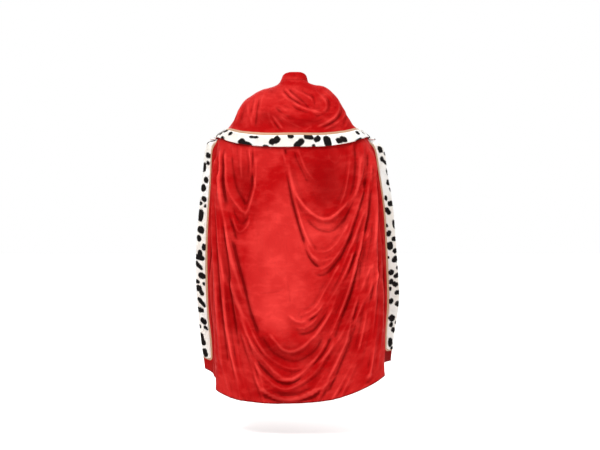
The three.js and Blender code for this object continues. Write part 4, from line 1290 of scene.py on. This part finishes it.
def wrong_side_material(name, colours):
    """The velvet's back: a matt fine knit with its loops in rows."""
    material, tree, shader = new_material(
        name,
        {
            "Roughness": 0.88,
            "Specular IOR Level": 0.2,
            "Sheen Weight": 0.15,
            "Sheen Tint": (1, 0.3, 0.3, 1),
        },
    )
    cut = cut_places(tree)
    rows = add_node(
        tree, "ShaderNodeTexWave", {"wave_type": "BANDS", "bands_direction": "X"},
        {"Vector": cut, "Scale": 170.0, "Distortion": 1.2, "Detail": 2.0, "Detail Scale": 3.0},
    )
    grain = place_group(tree, "Fibre grain", {"Place": cut, "Fibre Size": 0.0016, "Draw": 1.0})
    pile = place_group(tree, "Crushed pile", {"Place": cut, "Fleck Size": 0.05})
    worn = colour_mix(tree, pile.outputs["Clouds"], colours.wrong_side, shade_of(colours.wrong_side, 1.5))
    tinted = colour_mix(tree, grain.outputs["Tint"], shade_of(colours.wrong_side, 0.7), worn)
    tree.links.new(tinted, shader.inputs["Base Color"])
    tree.links.new(add_bump(tree, 0.5, 0.0004, rows.outputs["Fac"]), shader.inputs["Normal"])
    return material


def ermine_material(name, colours):
    """Mock ermine: white plush with dark spots, whose edges are broken by the pile."""
    material, tree, shader = new_material(
        name,
        {
            "Roughness": 0.9,
            "Specular IOR Level": 0.05,
            "Sheen Weight": 0.04,
            "Sheen Roughness": 0.5,
            "Sheen Tint": (1, 0.98, 0.96, 1),
        },
    )
    cut = cut_places(tree)
    grain = place_group(tree, "Fibre grain", {"Place": cut, "Fibre Size": 0.0022, "Draw": 2.0})
    clouds = place_group(tree, "Crushed pile", {"Place": cut, "Fleck Size": 0.03})
    # the spot's edge wanders by a millimetre or two with the pile
    away = point_value(tree, "spot_distance")
    broken = math_node(tree, "MULTIPLY_ADD", grain.outputs["Height"], 4.0, away)
    inside = range_node(tree, broken, 1.0, 3.0, 1.0, 0.0)
    cream = shade_of((colours.ermine[0], colours.ermine[1] * 0.95, colours.ermine[2] * 0.88), 0.95)
    white = colour_mix(tree, clouds.outputs["Clouds"], cream, colours.ermine)
    plush = colour_mix(tree, grain.outputs["Tint"], shade_of(colours.ermine, 0.92), white)
    tree.links.new(colour_mix(tree, inside, plush, colours.spot), shader.inputs["Base Color"])
    tree.links.new(add_bump(tree, 0.6, 0.0012, grain.outputs["Height"]), shader.inputs["Normal"])
    return material


def braid_material(name, colours):
    """Gold braid: metallic threads, duller in the plait's hollows, with painted shade in the hollows and a
    painted highlight on the raised strands.
    """
    material, tree, shader = new_material(
        name,
        {
            "Metallic": 0.35,
            "Roughness": 0.5,
            "Specular IOR Level": 0.5,
            "Sheen Weight": 0.1,
        },
    )
    cut = cut_places(tree)
    grain = place_group(tree, "Fibre grain", {"Place": cut, "Fibre Size": 0.0006, "Draw": 2.5})
    relief = point_value(tree, "plait_height")
    # painted shade in the plait's hollows and a painted highlight on its raised strands
    relief_shading = colour_mix(tree, relief, shade_of(colours.braid, 0.45), shade_of(colours.braid, 1.12))
    toned = colour_mix(tree, grain.outputs["Tint"], shade_of(colours.braid, 0.8), relief_shading)
    tree.links.new(toned, shader.inputs["Base Color"])
    tree.links.new(range_node(tree, relief, 0, 1, 0.68, 0.42), shader.inputs["Roughness"])
    tree.links.new(add_bump(tree, 0.5, 0.0003, grain.outputs["Height"]), shader.inputs["Normal"])
    return material


def thread_material(name, colours):
    """Sewing thread in the velvet's red."""
    material, tree, shader = new_material(name, {"Roughness": 0.6, "Specular IOR Level": 0.4})
    places = add_node(tree, "ShaderNodeTexCoord").outputs["Object"]
    grain = place_group(tree, "Fibre grain", {"Place": places, "Fibre Size": 0.0005, "Draw": 1.0})
    dark, light = shade_of(colours.velvet, 0.4), shade_of(colours.velvet, 0.8)
    tree.links.new(colour_mix(tree, grain.outputs["Tint"], dark, light), shader.inputs["Base Color"])
    return material


def cape_material(name, colours):
    """One of the cape's materials, built the first time that it is asked for."""
    builders = {
        "red_crushed_velvet": velvet_material,
        "velvet_wrong_side": wrong_side_material,
        "mock_ermine_plush": ermine_material,
        "gold_braid_thread": braid_material,
        "red_sewing_thread": thread_material,
    }
    return bpy.data.materials.get(name) or builders[name](name, colours)


def camera_view(points, stage):
    """Where points in millimetres are seen in the photo's frame, in its pixels."""
    pixels = PHOTO_SIZE[0] * stage.focal_length / SENSOR_WIDTH
    x = points[..., 0] * METRES - CAMERA_ACROSS
    depth = stage.camera_distance - points[..., 1] * METRES
    z = points[..., 2] * METRES - stage.camera_height
    return PHOTO_SIZE[0] / 2 - x / depth * pixels, PHOTO_SIZE[1] / 2 - z / depth * pixels


def spot_distance(across, down, spots):
    """The distance to the nearest spot's edge, in millimetres, less than nothing inside."""
    best = np.full(across.shape, SPOT_FAR)
    bent_across, bent_down = wandered(across, down, **SPOT_WANDER)
    for middle_across, middle_down, wide, tall, tilt in spots:
        turn = math.radians(tilt)
        from_across = bent_across - middle_across
        from_down = bent_down - middle_down
        x = from_across * math.cos(turn) + from_down * math.sin(turn)
        y = from_down * math.cos(turn) - from_across * math.sin(turn)
        q = np.abs(x / wide * 2) ** SPOT_SQUARENESS + np.abs(y / tall * 2) ** SPOT_SQUARENESS
        best = np.minimum(best, (q ** (1 / SPOT_SQUARENESS) - SPOT_GROWTH) * min(wide, tall) / 2)
    return best


def charted_spots(chart, band, stage):
    """The chart's spots at the places of the band that are seen where the chart says."""
    seen_x, seen_y = camera_view(band.points, stage)
    spots = []
    for photo_x, photo_y, wide, tall, tilt in chart:
        miss = np.hypot(seen_x - photo_x, seen_y - photo_y)
        # of two places seen alike, the one that faces the back is meant
        miss = miss - band.points[..., 1] * SPOT_BACK_PREFERENCE
        at = np.unravel_index(np.argmin(miss), miss.shape)
        spots.append((band.across[at], band.down[at], wide, tall, tilt))
    return spots


@dataclass
class Band:
    """A plush band: its places on the cut, the cloth's points and normals there, the places'
    distances from a long side and from the nearer end, the cut's direction down, and how far
    in the tufts grow from the first and last rows and columns."""

    across: np.ndarray
    down: np.ndarray
    points: np.ndarray
    normals: np.ndarray
    from_side: np.ndarray
    width: np.ndarray
    from_end: np.ndarray
    down_sign: int
    tuft_inset: tuple


def rounded_edge(distance, least):
    """A height's share near an edge, from the least at the edge up a quarter circle."""
    q = np.clip(distance / EDGE_ROUND, 0, 1)
    return least + (1 - least) * np.sqrt(1 - (1 - q) ** 2)


def front_columns(distance_in, left):
    """The body's fractional columns at a distance in from a front edge."""
    lines = np.arange(len(TRIM_LINES))
    column = np.interp(distance_in, TRIM_LINES, lines)
    last = panel("body").grid.shape[1] - 1
    return last - column if left else column


def body_rows(stations):
    made = body_stations()
    return np.interp(stations, made, np.arange(len(made)))


def band_lower_end(stations):
    """How wide the front ermine is at each station, with its inner lower corner rounded."""
    above = np.clip(ERMINE_END - stations, 0, CORNER_ROUND)
    arc = CORNER_ROUND - np.sqrt(np.maximum(0, CORNER_ROUND**2 - (CORNER_ROUND - above) ** 2))
    return PLUSH_WIDTH - arc


def front_band(left):
    """A front ermine, whose places are distances in from the edge and stations."""
    count = int((ERMINE_END - ERMINE_TOP) / BAND_STEP)
    stations = np.linspace(ERMINE_TOP, ERMINE_END, count + 1)
    widths = band_lower_end(stations)[:, None]
    distance = np.linspace(0, 1, BAND_COLUMNS + 1)[None, :] * widths
    down = np.repeat(stations[:, None], BAND_COLUMNS + 1, axis=1)
    if left:
        distance = distance[:, ::-1]
    points, normals = panel("body").pick(body_rows(down), front_columns(distance, left))
    from_end = np.minimum(down - ERMINE_TOP, ERMINE_END - down)
    return Band(distance, down, points, normals, distance, widths, from_end, -1, (0, TUFT_INSET))


def capelet_band():
    """The capelet's ermine, whose places are across the hem and up from it."""
    rows = np.linspace(0, 1, BAND_COLUMNS + 1)[::-1] * PLUSH_WIDTH
    columns = np.linspace(0, CAPELET_COLUMNS, CAPELET_BAND_COLUMNS)
    up, columns = np.meshgrid(rows, columns, indexing="ij")
    across, points, normals = capelet_places(up, columns)
    from_end = np.minimum(across - across.min(), across.max() - across)
    return Band(across, up, points, normals, up, PLUSH_WIDTH, from_end, 1, (TUFT_INSET, 0))


def capelet_places(up, columns):
    """Cut places, points and normals of the capelet at a height above its hem."""
    made = panel("capelet")
    last = made.grid.shape[0] - 1
    rows = last - np.interp(up, CAPELET_BAND_LINES, np.arange(len(CAPELET_BAND_LINES)))
    points, normals = made.pick(rows, columns)
    across = np.interp(columns, np.arange(CAPELET_COLUMNS + 1), made.across[-1])
    return across, points, normals


def scattered_spots(low, high, seed):
    """Spots like the charted ones for a stretch of band that the photo doesn't show."""
    random = np.random.default_rng(seed)
    spots = []
    place = low
    upper = True
    while place < high:
        up = random.uniform(*(SCATTERED_UPPER if upper else SCATTERED_LOWER))
        tilt = random.uniform(*SCATTERED_TILT)
        spots.append((place, up, random.uniform(*SCATTERED_WIDTH), random.uniform(*SCATTERED_HEIGHT), tilt))
        place += SCATTERED_SPACING * random.uniform(*SCATTERED_STEP)
        upper = not upper
    return spots


def add_tufts(name, roots, normals, lay, distances, cut, material, sizes, seed):
    """Tufts of plush joined in one mesh: slim three-sided blades that lie down the band."""
    random = np.random.default_rng(seed)
    count = len(roots)
    side = unit(np.cross(normals, lay))
    lay = np.cross(side, normals)
    length, rise, sway, half = (random.uniform(low, high, (count, 1)) for low, high in TUFT_RANGES)
    direction = lay * np.sqrt(1 - rise**2) + normals * rise + side * sway
    tip = roots + sizes.tuft_length * length * direction
    foot = roots - normals * TUFT_SUNK
    ridge = roots + lay * half * TUFT_RIDGE_SHARE + normals * TUFT_RIDGE_RISE
    vertices = np.stack([foot - side * half, foot + side * half, ridge, tip], axis=1).reshape(-1, 3)
    corner = np.arange(count)[:, None] * 4
    faces = np.concatenate([corner + face for face in ([0, 1, 2], [0, 3, 1], [1, 3, 2], [2, 3, 0])])
    values = {"spot_distance": np.repeat(distances, 4)}
    return add_piece(name, vertices, faces, [material], cut=np.repeat(cut, 4, axis=0), values=values)


def add_plush(node, band, spots, seeds, plush, sizes):
    """A band of plush over the cloth, rounded at its sides and ends, and its tufts."""
    from_side = np.minimum(band.from_side, band.width - band.from_side)
    rise = sizes.ermine_pile * rounded_edge(from_side, SIDE_LEAST) * rounded_edge(band.from_end, END_LEAST)
    wander = ripples(band.across, band.down, **PLUSH_WANDER, seed=seeds[0])
    rise = rise + wander * np.clip(rise / sizes.ermine_pile, 0, 1)
    outer = band.points + band.normals * (SEAM_GAP + np.maximum(rise, PLUSH_LEAST))[..., None]
    vertices, faces, _ = shell(outer, band.points + band.normals * SEAM_GAP)
    away = spot_distance(band.across, band.down, spots)
    to_cut = (1, band.down_sign)
    places = np.stack([band.across, band.down], axis=-1)
    cut = np.tile(places.reshape(-1, 2) * to_cut, (2, 1))
    values = {"spot_distance": np.tile(away.ravel(), 2)}
    piece = add_piece(f"{node}_plush", vertices, faces, [plush], cut=cut, values=values)
    place_piece(piece, "ermine", node)

    random = np.random.default_rng(seeds[1])
    last = np.array(outer.shape[:2]) - 1
    rows, columns = (
        random.uniform(inset, end - max(inset, TUFT_LEAST_INSET), sizes.tufts_per_band)
        for inset, end in zip(band.tuft_inset, last)
    )
    ahead = picked(outer, np.minimum(rows + 1, last[0]), columns)
    lay = ahead - picked(outer, np.maximum(rows - 1, 0), columns)
    roots = picked(outer, rows, columns)
    up = picked(band.normals, rows, columns)
    grown = picked(places, rows, columns)
    away = spot_distance(grown[:, 0], grown[:, 1], spots)
    name = f"{node}_tufts"
    tufts = add_tufts(name, roots, up, lay, away, grown * to_cut, plush, sizes, seeds[2])
    place_piece(tufts, "ermine")
    return piece, tufts


def ribbon(points, normals, sizes):
    """A closed rounded ribbon along a line, with a plait's relief, and its relief's height."""
    along = np.gradient(points, axis=0)
    widthways = unit(np.cross(normals, along))
    ran = running_lengths(points)[:, None]
    share = np.linspace(-1, 1, BRAID_STRANDS)[None, :]
    sideways = share * BRAID_SHOWN / 2
    # two strands cross in a herringbone: ridges slant outwards from the middle
    slant = np.abs(share) * PLAIT_PITCH * PLAIT_SLANT
    plait = 0.5 + 0.5 * np.cos((ran - slant) * 2 * math.pi / PLAIT_PITCH)
    middle = np.exp(-((share / PLAIT_MIDDLE) ** 2))
    relief = np.clip(plait * (1 - PLAIT_MIDDLE_DEPTH * middle), 0, 1)
    dome = np.sqrt(np.maximum(0, 1 - (np.abs(share) * BRAID_DOME) ** 3))
    height = SEAM_GAP + sizes.braid_rise * dome * mix(PLAIT_LOW, 1, relief)
    spread = points[:, None, :] + widthways[:, None, :] * sideways[..., None]
    outer = spread + normals[:, None, :] * height[..., None]
    inner = spread + normals[:, None, :] * SEAM_GAP
    vertices, faces, _ = shell(outer, inner)
    cut = np.stack([np.broadcast_to(sideways, height.shape).ravel(), np.repeat(ran, BRAID_STRANDS)], axis=1)
    values = {"plait_height": np.tile(relief.ravel(), 2)}
    return vertices, faces, np.tile(cut, (2, 1)), values


def front_braid_line():
    """Down the ermine's inner side, round its lower corner and out to the front edge."""
    turn_at = ERMINE_END - CORNER_ROUND
    radius = CORNER_ROUND + BRAID_MIDDLE - ERMINE_WIDTH
    angles = np.linspace(0, math.pi / 2, CORNER_STEPS)[1:-1]
    straight = np.arange(ERMINE_TOP, turn_at, BRAID_STEP)
    out = np.append(np.arange(ERMINE_WIDTH - CORNER_ROUND, 0, -BRAID_STEP), 0)
    turned = BRAID_MIDDLE - radius * (1 - np.cos(angles))
    distance = np.concatenate([np.full(len(straight), BRAID_MIDDLE), turned, out])
    lowest = np.full(len(out), turn_at + radius)
    stations = np.concatenate([straight, turn_at + radius * np.sin(angles), lowest])
    ran = running_lengths(np.stack([distance, stations], axis=1))
    even = np.linspace(0, ran[-1], int(ran[-1] / BRAID_STEP))
    return np.interp(even, ran, distance), np.interp(even, ran, stations)


def add_stitches(name, points, normals, material):
    """A row of machine stitches: small rounded bars half sunk in the cloth."""
    ran = running_lengths(points)
    starts = np.arange(STITCH_PITCH, ran[-1] - STITCH_PITCH, STITCH_PITCH)
    first = along_line(starts, ran, points)
    run = along_line(starts + STITCH_LENGTH, ran, points) - first
    up = unit(along_line(starts + STITCH_LENGTH / 2, ran, normals))
    side = unit(np.cross(up, run))
    angles = np.linspace(0, 2 * math.pi, STITCH_SIDES, endpoint=False)[None, :, None]
    circle = side[:, None, :] * np.cos(angles) + up[:, None, :] * np.sin(angles)
    rings = []
    for share, thick, rise in STITCH_RINGS:
        middle = first + run * share + up * rise * STITCH_THICK
        rings.append(middle[:, None, :] + circle * thick * STITCH_THICK)
    vertices = np.stack(rings, axis=1).reshape(-1, 3)
    index = np.arange(len(rings) * STITCH_SIDES).reshape(-1, STITCH_SIDES)
    bar = quad_faces(np.concatenate([index, index[:, :1]], axis=1)).tolist()
    bar += [index[0, ::-1].tolist(), index[-1].tolist()]
    offsets = range(0, len(vertices), index.size)
    faces = [[offset + corner for corner in face] for offset in offsets for face in bar]
    place_piece(add_piece(name, vertices, faces, [material]), "velvet")


class CAPE_OT_body(bpy.types.Operator):
    """Make the long velvet cape body with its folds and hem"""

    bl_idname = "cape.make_body"
    bl_label = "Cape body"

    def execute(self, context):
        sizes, colours, _ = cape_settings(context)
        made = panel("body")
        inner = made.backing - made.normals * sizes.velvet_wall
        vertices, faces, marks = coarse_backed_shell(made.grid, inner)
        materials = [cape_material(name, colours) for name in ("red_crushed_velvet", "velvet_wrong_side")]
        cut = both_sides(made, 2)
        values = relief_values(made, 2)
        piece = add_piece("cape_body_velvet", vertices, faces, materials, marks, cut, values)
        place_piece(piece, "velvet", "cape_body")
        flat = (made.width(), round(BODY_LENGTH * METRES, 3))
        made.area()
        return {"FINISHED"}


class CAPE_OT_capelet(bpy.types.Operator):
    """Make the velvet capelet that lies over the shoulders"""

    bl_idname = "cape.make_capelet"
    bl_label = "Capelet"

    def execute(self, context):
        sizes, colours, _ = cape_settings(context)
        made = panel("capelet")
        inner = made.grid - made.normals * sizes.velvet_wall
        vertices, faces, marks = shell(made.grid, inner)
        materials = [cape_material(name, colours) for name in ("red_crushed_velvet", "velvet_wrong_side")]
        cut = both_sides(made)
        piece = add_piece("capelet_velvet", vertices, faces, materials, marks, cut, relief_values(made))
        place_piece(piece, "velvet", "capelet")
        flat = (made.width(), round(CAPELET_LENGTH * METRES, 3))
        made.area()
        return {"FINISHED"}


class CAPE_OT_collar(bpy.types.Operator):
    """Make the stand collar and the plain tab that closes it at the throat"""

    bl_idname = "cape.make_collar"
    bl_label = "Collar and tab"

    def execute(self, context):
        _, colours, _ = cape_settings(context)
        made = panel("collar")
        # the top edge is a fold of the cloth, so the wall is thinner and round there
        rounded = np.sqrt(np.clip(made.down / COLLAR_EDGE_ROUND, COLLAR_EDGE_LEAST, 1))
        half = made.normals * (COLLAR_WALL / 2 * rounded)[..., None]
        vertices, faces, _ = shell(made.grid + half, made.grid - half)
        velvet = cape_material("red_crushed_velvet", colours)
        cut = both_sides(made)
        piece = add_piece("collar_velvet", vertices, faces, [velvet], cut=cut, values=relief_values(made))
        place_piece(piece, "velvet", "collar")
        made.width(0)
        self.make_tab(made, velvet)
        return {"FINISHED"}

    def make_tab(self, made, velvet):
        """The tab lies across both ends of the collar, which meet at the throat."""
        last = made.grid.shape[1] - 1
        reach = TAB_REACH * last / (made.across[0, -1] - made.across[0, 0])
        low = (COLLAR_HEIGHT - TAB_HEIGHT) / 2 / COLLAR_HEIGHT * (COLLAR_ROWS - 1)
        rows = np.linspace(low, COLLAR_ROWS - 1 - low, TAB_ROWS)
        halves = []
        for first, end in ((last - reach, last), (0, reach)):
            columns = np.linspace(first, end, TAB_COLUMNS)
            halves.append(made.pick(*np.meshgrid(rows, columns, indexing="ij")))
        points, normals = (np.concatenate(parts, axis=1) for parts in zip(*halves))
        seat = COLLAR_WALL / 2 + SEAM_GAP
        down = np.linspace(-1, 1, TAB_ROWS)[:, None]
        across = np.linspace(-1, 1, 2 * TAB_COLUMNS)[None, :]
        soft = np.sqrt(1 - down**6) * np.sqrt(1 - across**10)
        stitched = np.exp(-(((np.abs(down) - TAB_STITCH_AT) / TAB_STITCH_HALF) ** 2))
        rise = TAB_WALL * mix(TAB_EDGE_SHARE, 1, soft) - TAB_STITCH_DIP * stitched
        outer = points + normals * (seat + rise)[..., None]
        vertices, faces, _ = shell(outer, points + normals * seat)
        cut = np.stack(np.meshgrid(across[0] * TAB_REACH, rows), axis=-1).reshape(-1, 2)
        piece = add_piece("throat_tab_velvet", vertices, faces, [velvet], cut=np.tile(cut, (2, 1)))
        place_piece(piece, "velvet", "throat_tab")


class CAPE_OT_front_ermine(bpy.types.Operator):
    """Make the spotted plush bands down the two front edges"""

    bl_idname = "cape.make_front_ermine"
    bl_label = "Front ermine"

    def execute(self, context):
        sizes, colours, stage = cape_settings(context)
        plush = cape_material("mock_ermine_plush", colours)
        for side, (chart, seeds) in FRONT_BANDS.items():
            band = front_band(side == "left")
            # the fronts are seen at a slant, so their spots are broader than they look
            lean = -1 if side == "right" else 1
            spots = [
                (across, down, wide * FRONT_SPOT_BREADTH, tall, lean * tilt)
                for across, down, wide, tall, tilt in charted_spots(chart, band, stage)
            ]
            piece, tufts = add_plush(f"front_ermine_{side}", band, spots, seeds, plush, sizes)
        return {"FINISHED"}


class CAPE_OT_capelet_ermine(bpy.types.Operator):
    """Make the spotted plush band along the capelet's lower edge"""

    bl_idname = "cape.make_capelet_ermine"
    bl_label = "Capelet ermine"

    def execute(self, context):
        sizes, colours, stage = cape_settings(context)
        plush = cape_material("mock_ermine_plush", colours)
        band = capelet_band()
        right, left = band.across.min(), band.across.max()
        spots = charted_spots(CAPELET_SPOTS, band, stage)
        shown = [across for across, *_ in spots]
        stretches = (
            (right + SCATTERED_FROM_ENDS[0], min(shown) - SCATTERED_CLEARANCE),
            (max(shown) + SCATTERED_CLEARANCE, left - SCATTERED_FROM_ENDS[1]),
        )
        for (low, high), seed in zip(stretches, SCATTERED_SEEDS):
            spots += scattered_spots(low, high, seed)
        piece, tufts = add_plush("capelet_ermine", band, spots, CAPELET_BAND_SEEDS, plush, sizes)
        return {"FINISHED"}


class CAPE_OT_braid(bpy.types.Operator):
    """Make the gold braids beside the ermine bands"""

    bl_idname = "cape.make_braid"
    bl_label = "Gold braid"

    def execute(self, context):
        distance, stations = front_braid_line()
        for side in ("left", "right"):
            line = panel("body").pick(body_rows(stations), front_columns(distance, side == "left"))
            self.make_ribbon(context, f"front_braid_{side}", "cape_body", *line)
        across = panel("capelet").across[-1]
        columns = np.linspace(0, CAPELET_COLUMNS, int((across[-1] - across[0]) / BRAID_STEP))
        _, *line = capelet_places(np.full(len(columns), BRAID_MIDDLE), columns)
        self.make_ribbon(context, "capelet_braid", "capelet", *line)
        return {"FINISHED"}

    def make_ribbon(self, context, node, cloth, points, normals):
        sizes, colours, _ = cape_settings(context)
        gold = cape_material("gold_braid_thread", colours)
        vertices, faces, cut, values = ribbon(points, normals, sizes)
        piece = add_piece(f"{node}_plait", vertices, faces, [gold], cut=cut, values=values)
        place_piece(piece, "braid", node)


class CAPE_OT_stitching(bpy.types.Operator):
    """Make the machine stitches along the hem"""

    bl_idname = "cape.make_stitching"
    bl_label = "Stitching"

    def execute(self, context):
        _, colours, _ = cape_settings(context)
        body = panel("body")
        columns = np.linspace(0.5, body.grid.shape[1] - 1.5, STITCH_LINE_POINTS)
        rows = body_rows(np.full(len(columns), BODY_LENGTH - HEM_DEPTH + STITCH_BELOW_TURN))
        points, normals = body.pick(rows, columns)
        add_stitches("hem_stitches", points, normals, cape_material("red_sewing_thread", colours))
        return {"FINISHED"}


class CAPE_OT_stage(bpy.types.Operator):
    """Make the pale floor, the soft studio light and the camera"""

    bl_idname = "cape.make_stage"
    bl_label = "Stage"

    def execute(self, context):
        scene = context.scene
        stage = scene.cape_stage
        self.make_camera(scene, stage)
        self.make_floor(stage)
        self.make_world(scene)
        for name, light in LIGHTS.items():
            self.make_light(name, *light)
        scene.view_settings.view_transform = "Standard"
        scene.view_settings.look = "None"
        return {"FINISHED"}

    def make_camera(self, scene, stage):
        data = bpy.data.cameras.new("photo_camera")
        data.lens = stage.focal_length
        data.sensor_width = SENSOR_WIDTH
        camera = bpy.data.objects.new("photo_camera", data)
        camera.location = (CAMERA_ACROSS, stage.camera_distance, stage.camera_height)
        camera.rotation_euler = (math.pi / 2, 0, math.pi)
        scene.collection.objects.link(camera)
        scene.camera = camera

    def make_floor(self, stage):
        mesh = bpy.data.meshes.new("floor")
        half = FLOOR_SIZE / 2
        z = stage.floor_height
        corners = [(-half, -half, z), (half, -half, z), (half, half, z), (-half, half, z)]
        mesh.from_pydata(corners, [], [(0, 1, 2, 3)])
        material, tree, shader = new_material("pale_floor", {"Roughness": 0.9, "Specular IOR Level": 0.1})
        places = add_node(tree, "ShaderNodeTexCoord").outputs["Object"]
        haze = add_node(tree, "ShaderNodeTexNoise", None, {"Vector": places, "Scale": 0.6})
        tone = colour_mix(tree, haze.outputs["Fac"], (0.9, 0.9, 0.9), (0.94, 0.94, 0.94))
        tree.links.new(tone, shader.inputs["Base Color"])
        mesh.materials.append(material)
        floor = bpy.data.objects.new("floor", mesh)
        bpy.context.scene.collection.objects.link(floor)

    def make_world(self, scene):
        """White where it is seen, and a light that falls mostly from above."""
        world = bpy.data.worlds.new("soft_white")
        world.use_nodes = True
        tree = world.node_tree
        tree.nodes.clear()
        seen = add_node(tree, "ShaderNodeBackground", None, {"Color": (1, 1, 1, 1), "Strength": 1.0})
        direction = add_node(tree, "ShaderNodeTexCoord").outputs["Generated"]
        height = add_node(tree, "ShaderNodeSeparateXYZ", None, {0: direction}).outputs[2]
        strength = range_node(tree, height, *SKY_HEIGHTS, *SKY_LIGHT)
        light = add_node(
            tree, "ShaderNodeBackground", None, {"Color": (1, 0.99, 0.98, 1), "Strength": strength}
        )
        path = add_node(tree, "ShaderNodeLightPath")
        both = add_node(tree, "ShaderNodeMixShader")
        tree.links.new(path.outputs["Is Camera Ray"], both.inputs[0])
        tree.links.new(light.outputs[0], both.inputs[1])
        tree.links.new(seen.outputs[0], both.inputs[2])
        out = add_node(tree, "ShaderNodeOutputWorld")
        tree.links.new(both.outputs[0], out.inputs["Surface"])
        scene.world = world

    def make_light(self, name, place, target, size, power):
        data = bpy.data.lights.new(name, "AREA")
        data.shape = "DISK"
        data.size = size
        data.energy = power
        light = bpy.data.objects.new(name, data)
        light.location = place
        aim = Vector(target) - Vector(place)
        light.rotation_euler = aim.to_track_quat("-Z", "Y").to_euler()
        bpy.context.scene.collection.objects.link(light)


MAKERS = (
    CAPE_OT_stage,
    CAPE_OT_body,
    CAPE_OT_capelet,
    CAPE_OT_collar,
    CAPE_OT_front_ermine,
    CAPE_OT_capelet_ermine,
    CAPE_OT_braid,
    CAPE_OT_stitching,
)


class CAPE_PT_panel(bpy.types.Panel):
    """The cape's pieces and settings"""

    bl_label = "King Cape"
    bl_idname = "CAPE_PT_panel"
    bl_space_type = "VIEW_3D"
    bl_region_type = "UI"
    bl_category = "King Cape"

    def draw(self, context):
        scene = context.scene
        for group in (scene.cape_sizes, scene.cape_colours, scene.cape_stage):
            box = self.layout.box()
            for key in group.__annotations__:
                box.prop(group, key)
        column = self.layout.column()
        for maker in MAKERS:
            column.operator(maker.bl_idname)


CLASSES = (CapeSizes, CapeColours, CapeStage, *MAKERS, CAPE_PT_panel)


def register():
    for cls in CLASSES:
        bpy.utils.register_class(cls)
    bpy.types.Scene.cape_sizes = PointerProperty(type=CapeSizes)
    bpy.types.Scene.cape_colours = PointerProperty(type=CapeColours)
    bpy.types.Scene.cape_stage = PointerProperty(type=CapeStage)


def unregister():
    del bpy.types.Scene.cape_stage
    del bpy.types.Scene.cape_colours
    del bpy.types.Scene.cape_sizes
    for cls in reversed(CLASSES):
        bpy.utils.unregister_class(cls)


def main():
    register()
    bpy.ops.cape.make_stage()
    bpy.ops.cape.make_body()
    bpy.ops.cape.make_capelet()
    bpy.ops.cape.make_collar()
    bpy.ops.cape.make_front_ermine()
    bpy.ops.cape.make_capelet_ermine()
    bpy.ops.cape.make_braid()
    bpy.ops.cape.make_stitching()


if __name__ == "__main__":
    main()
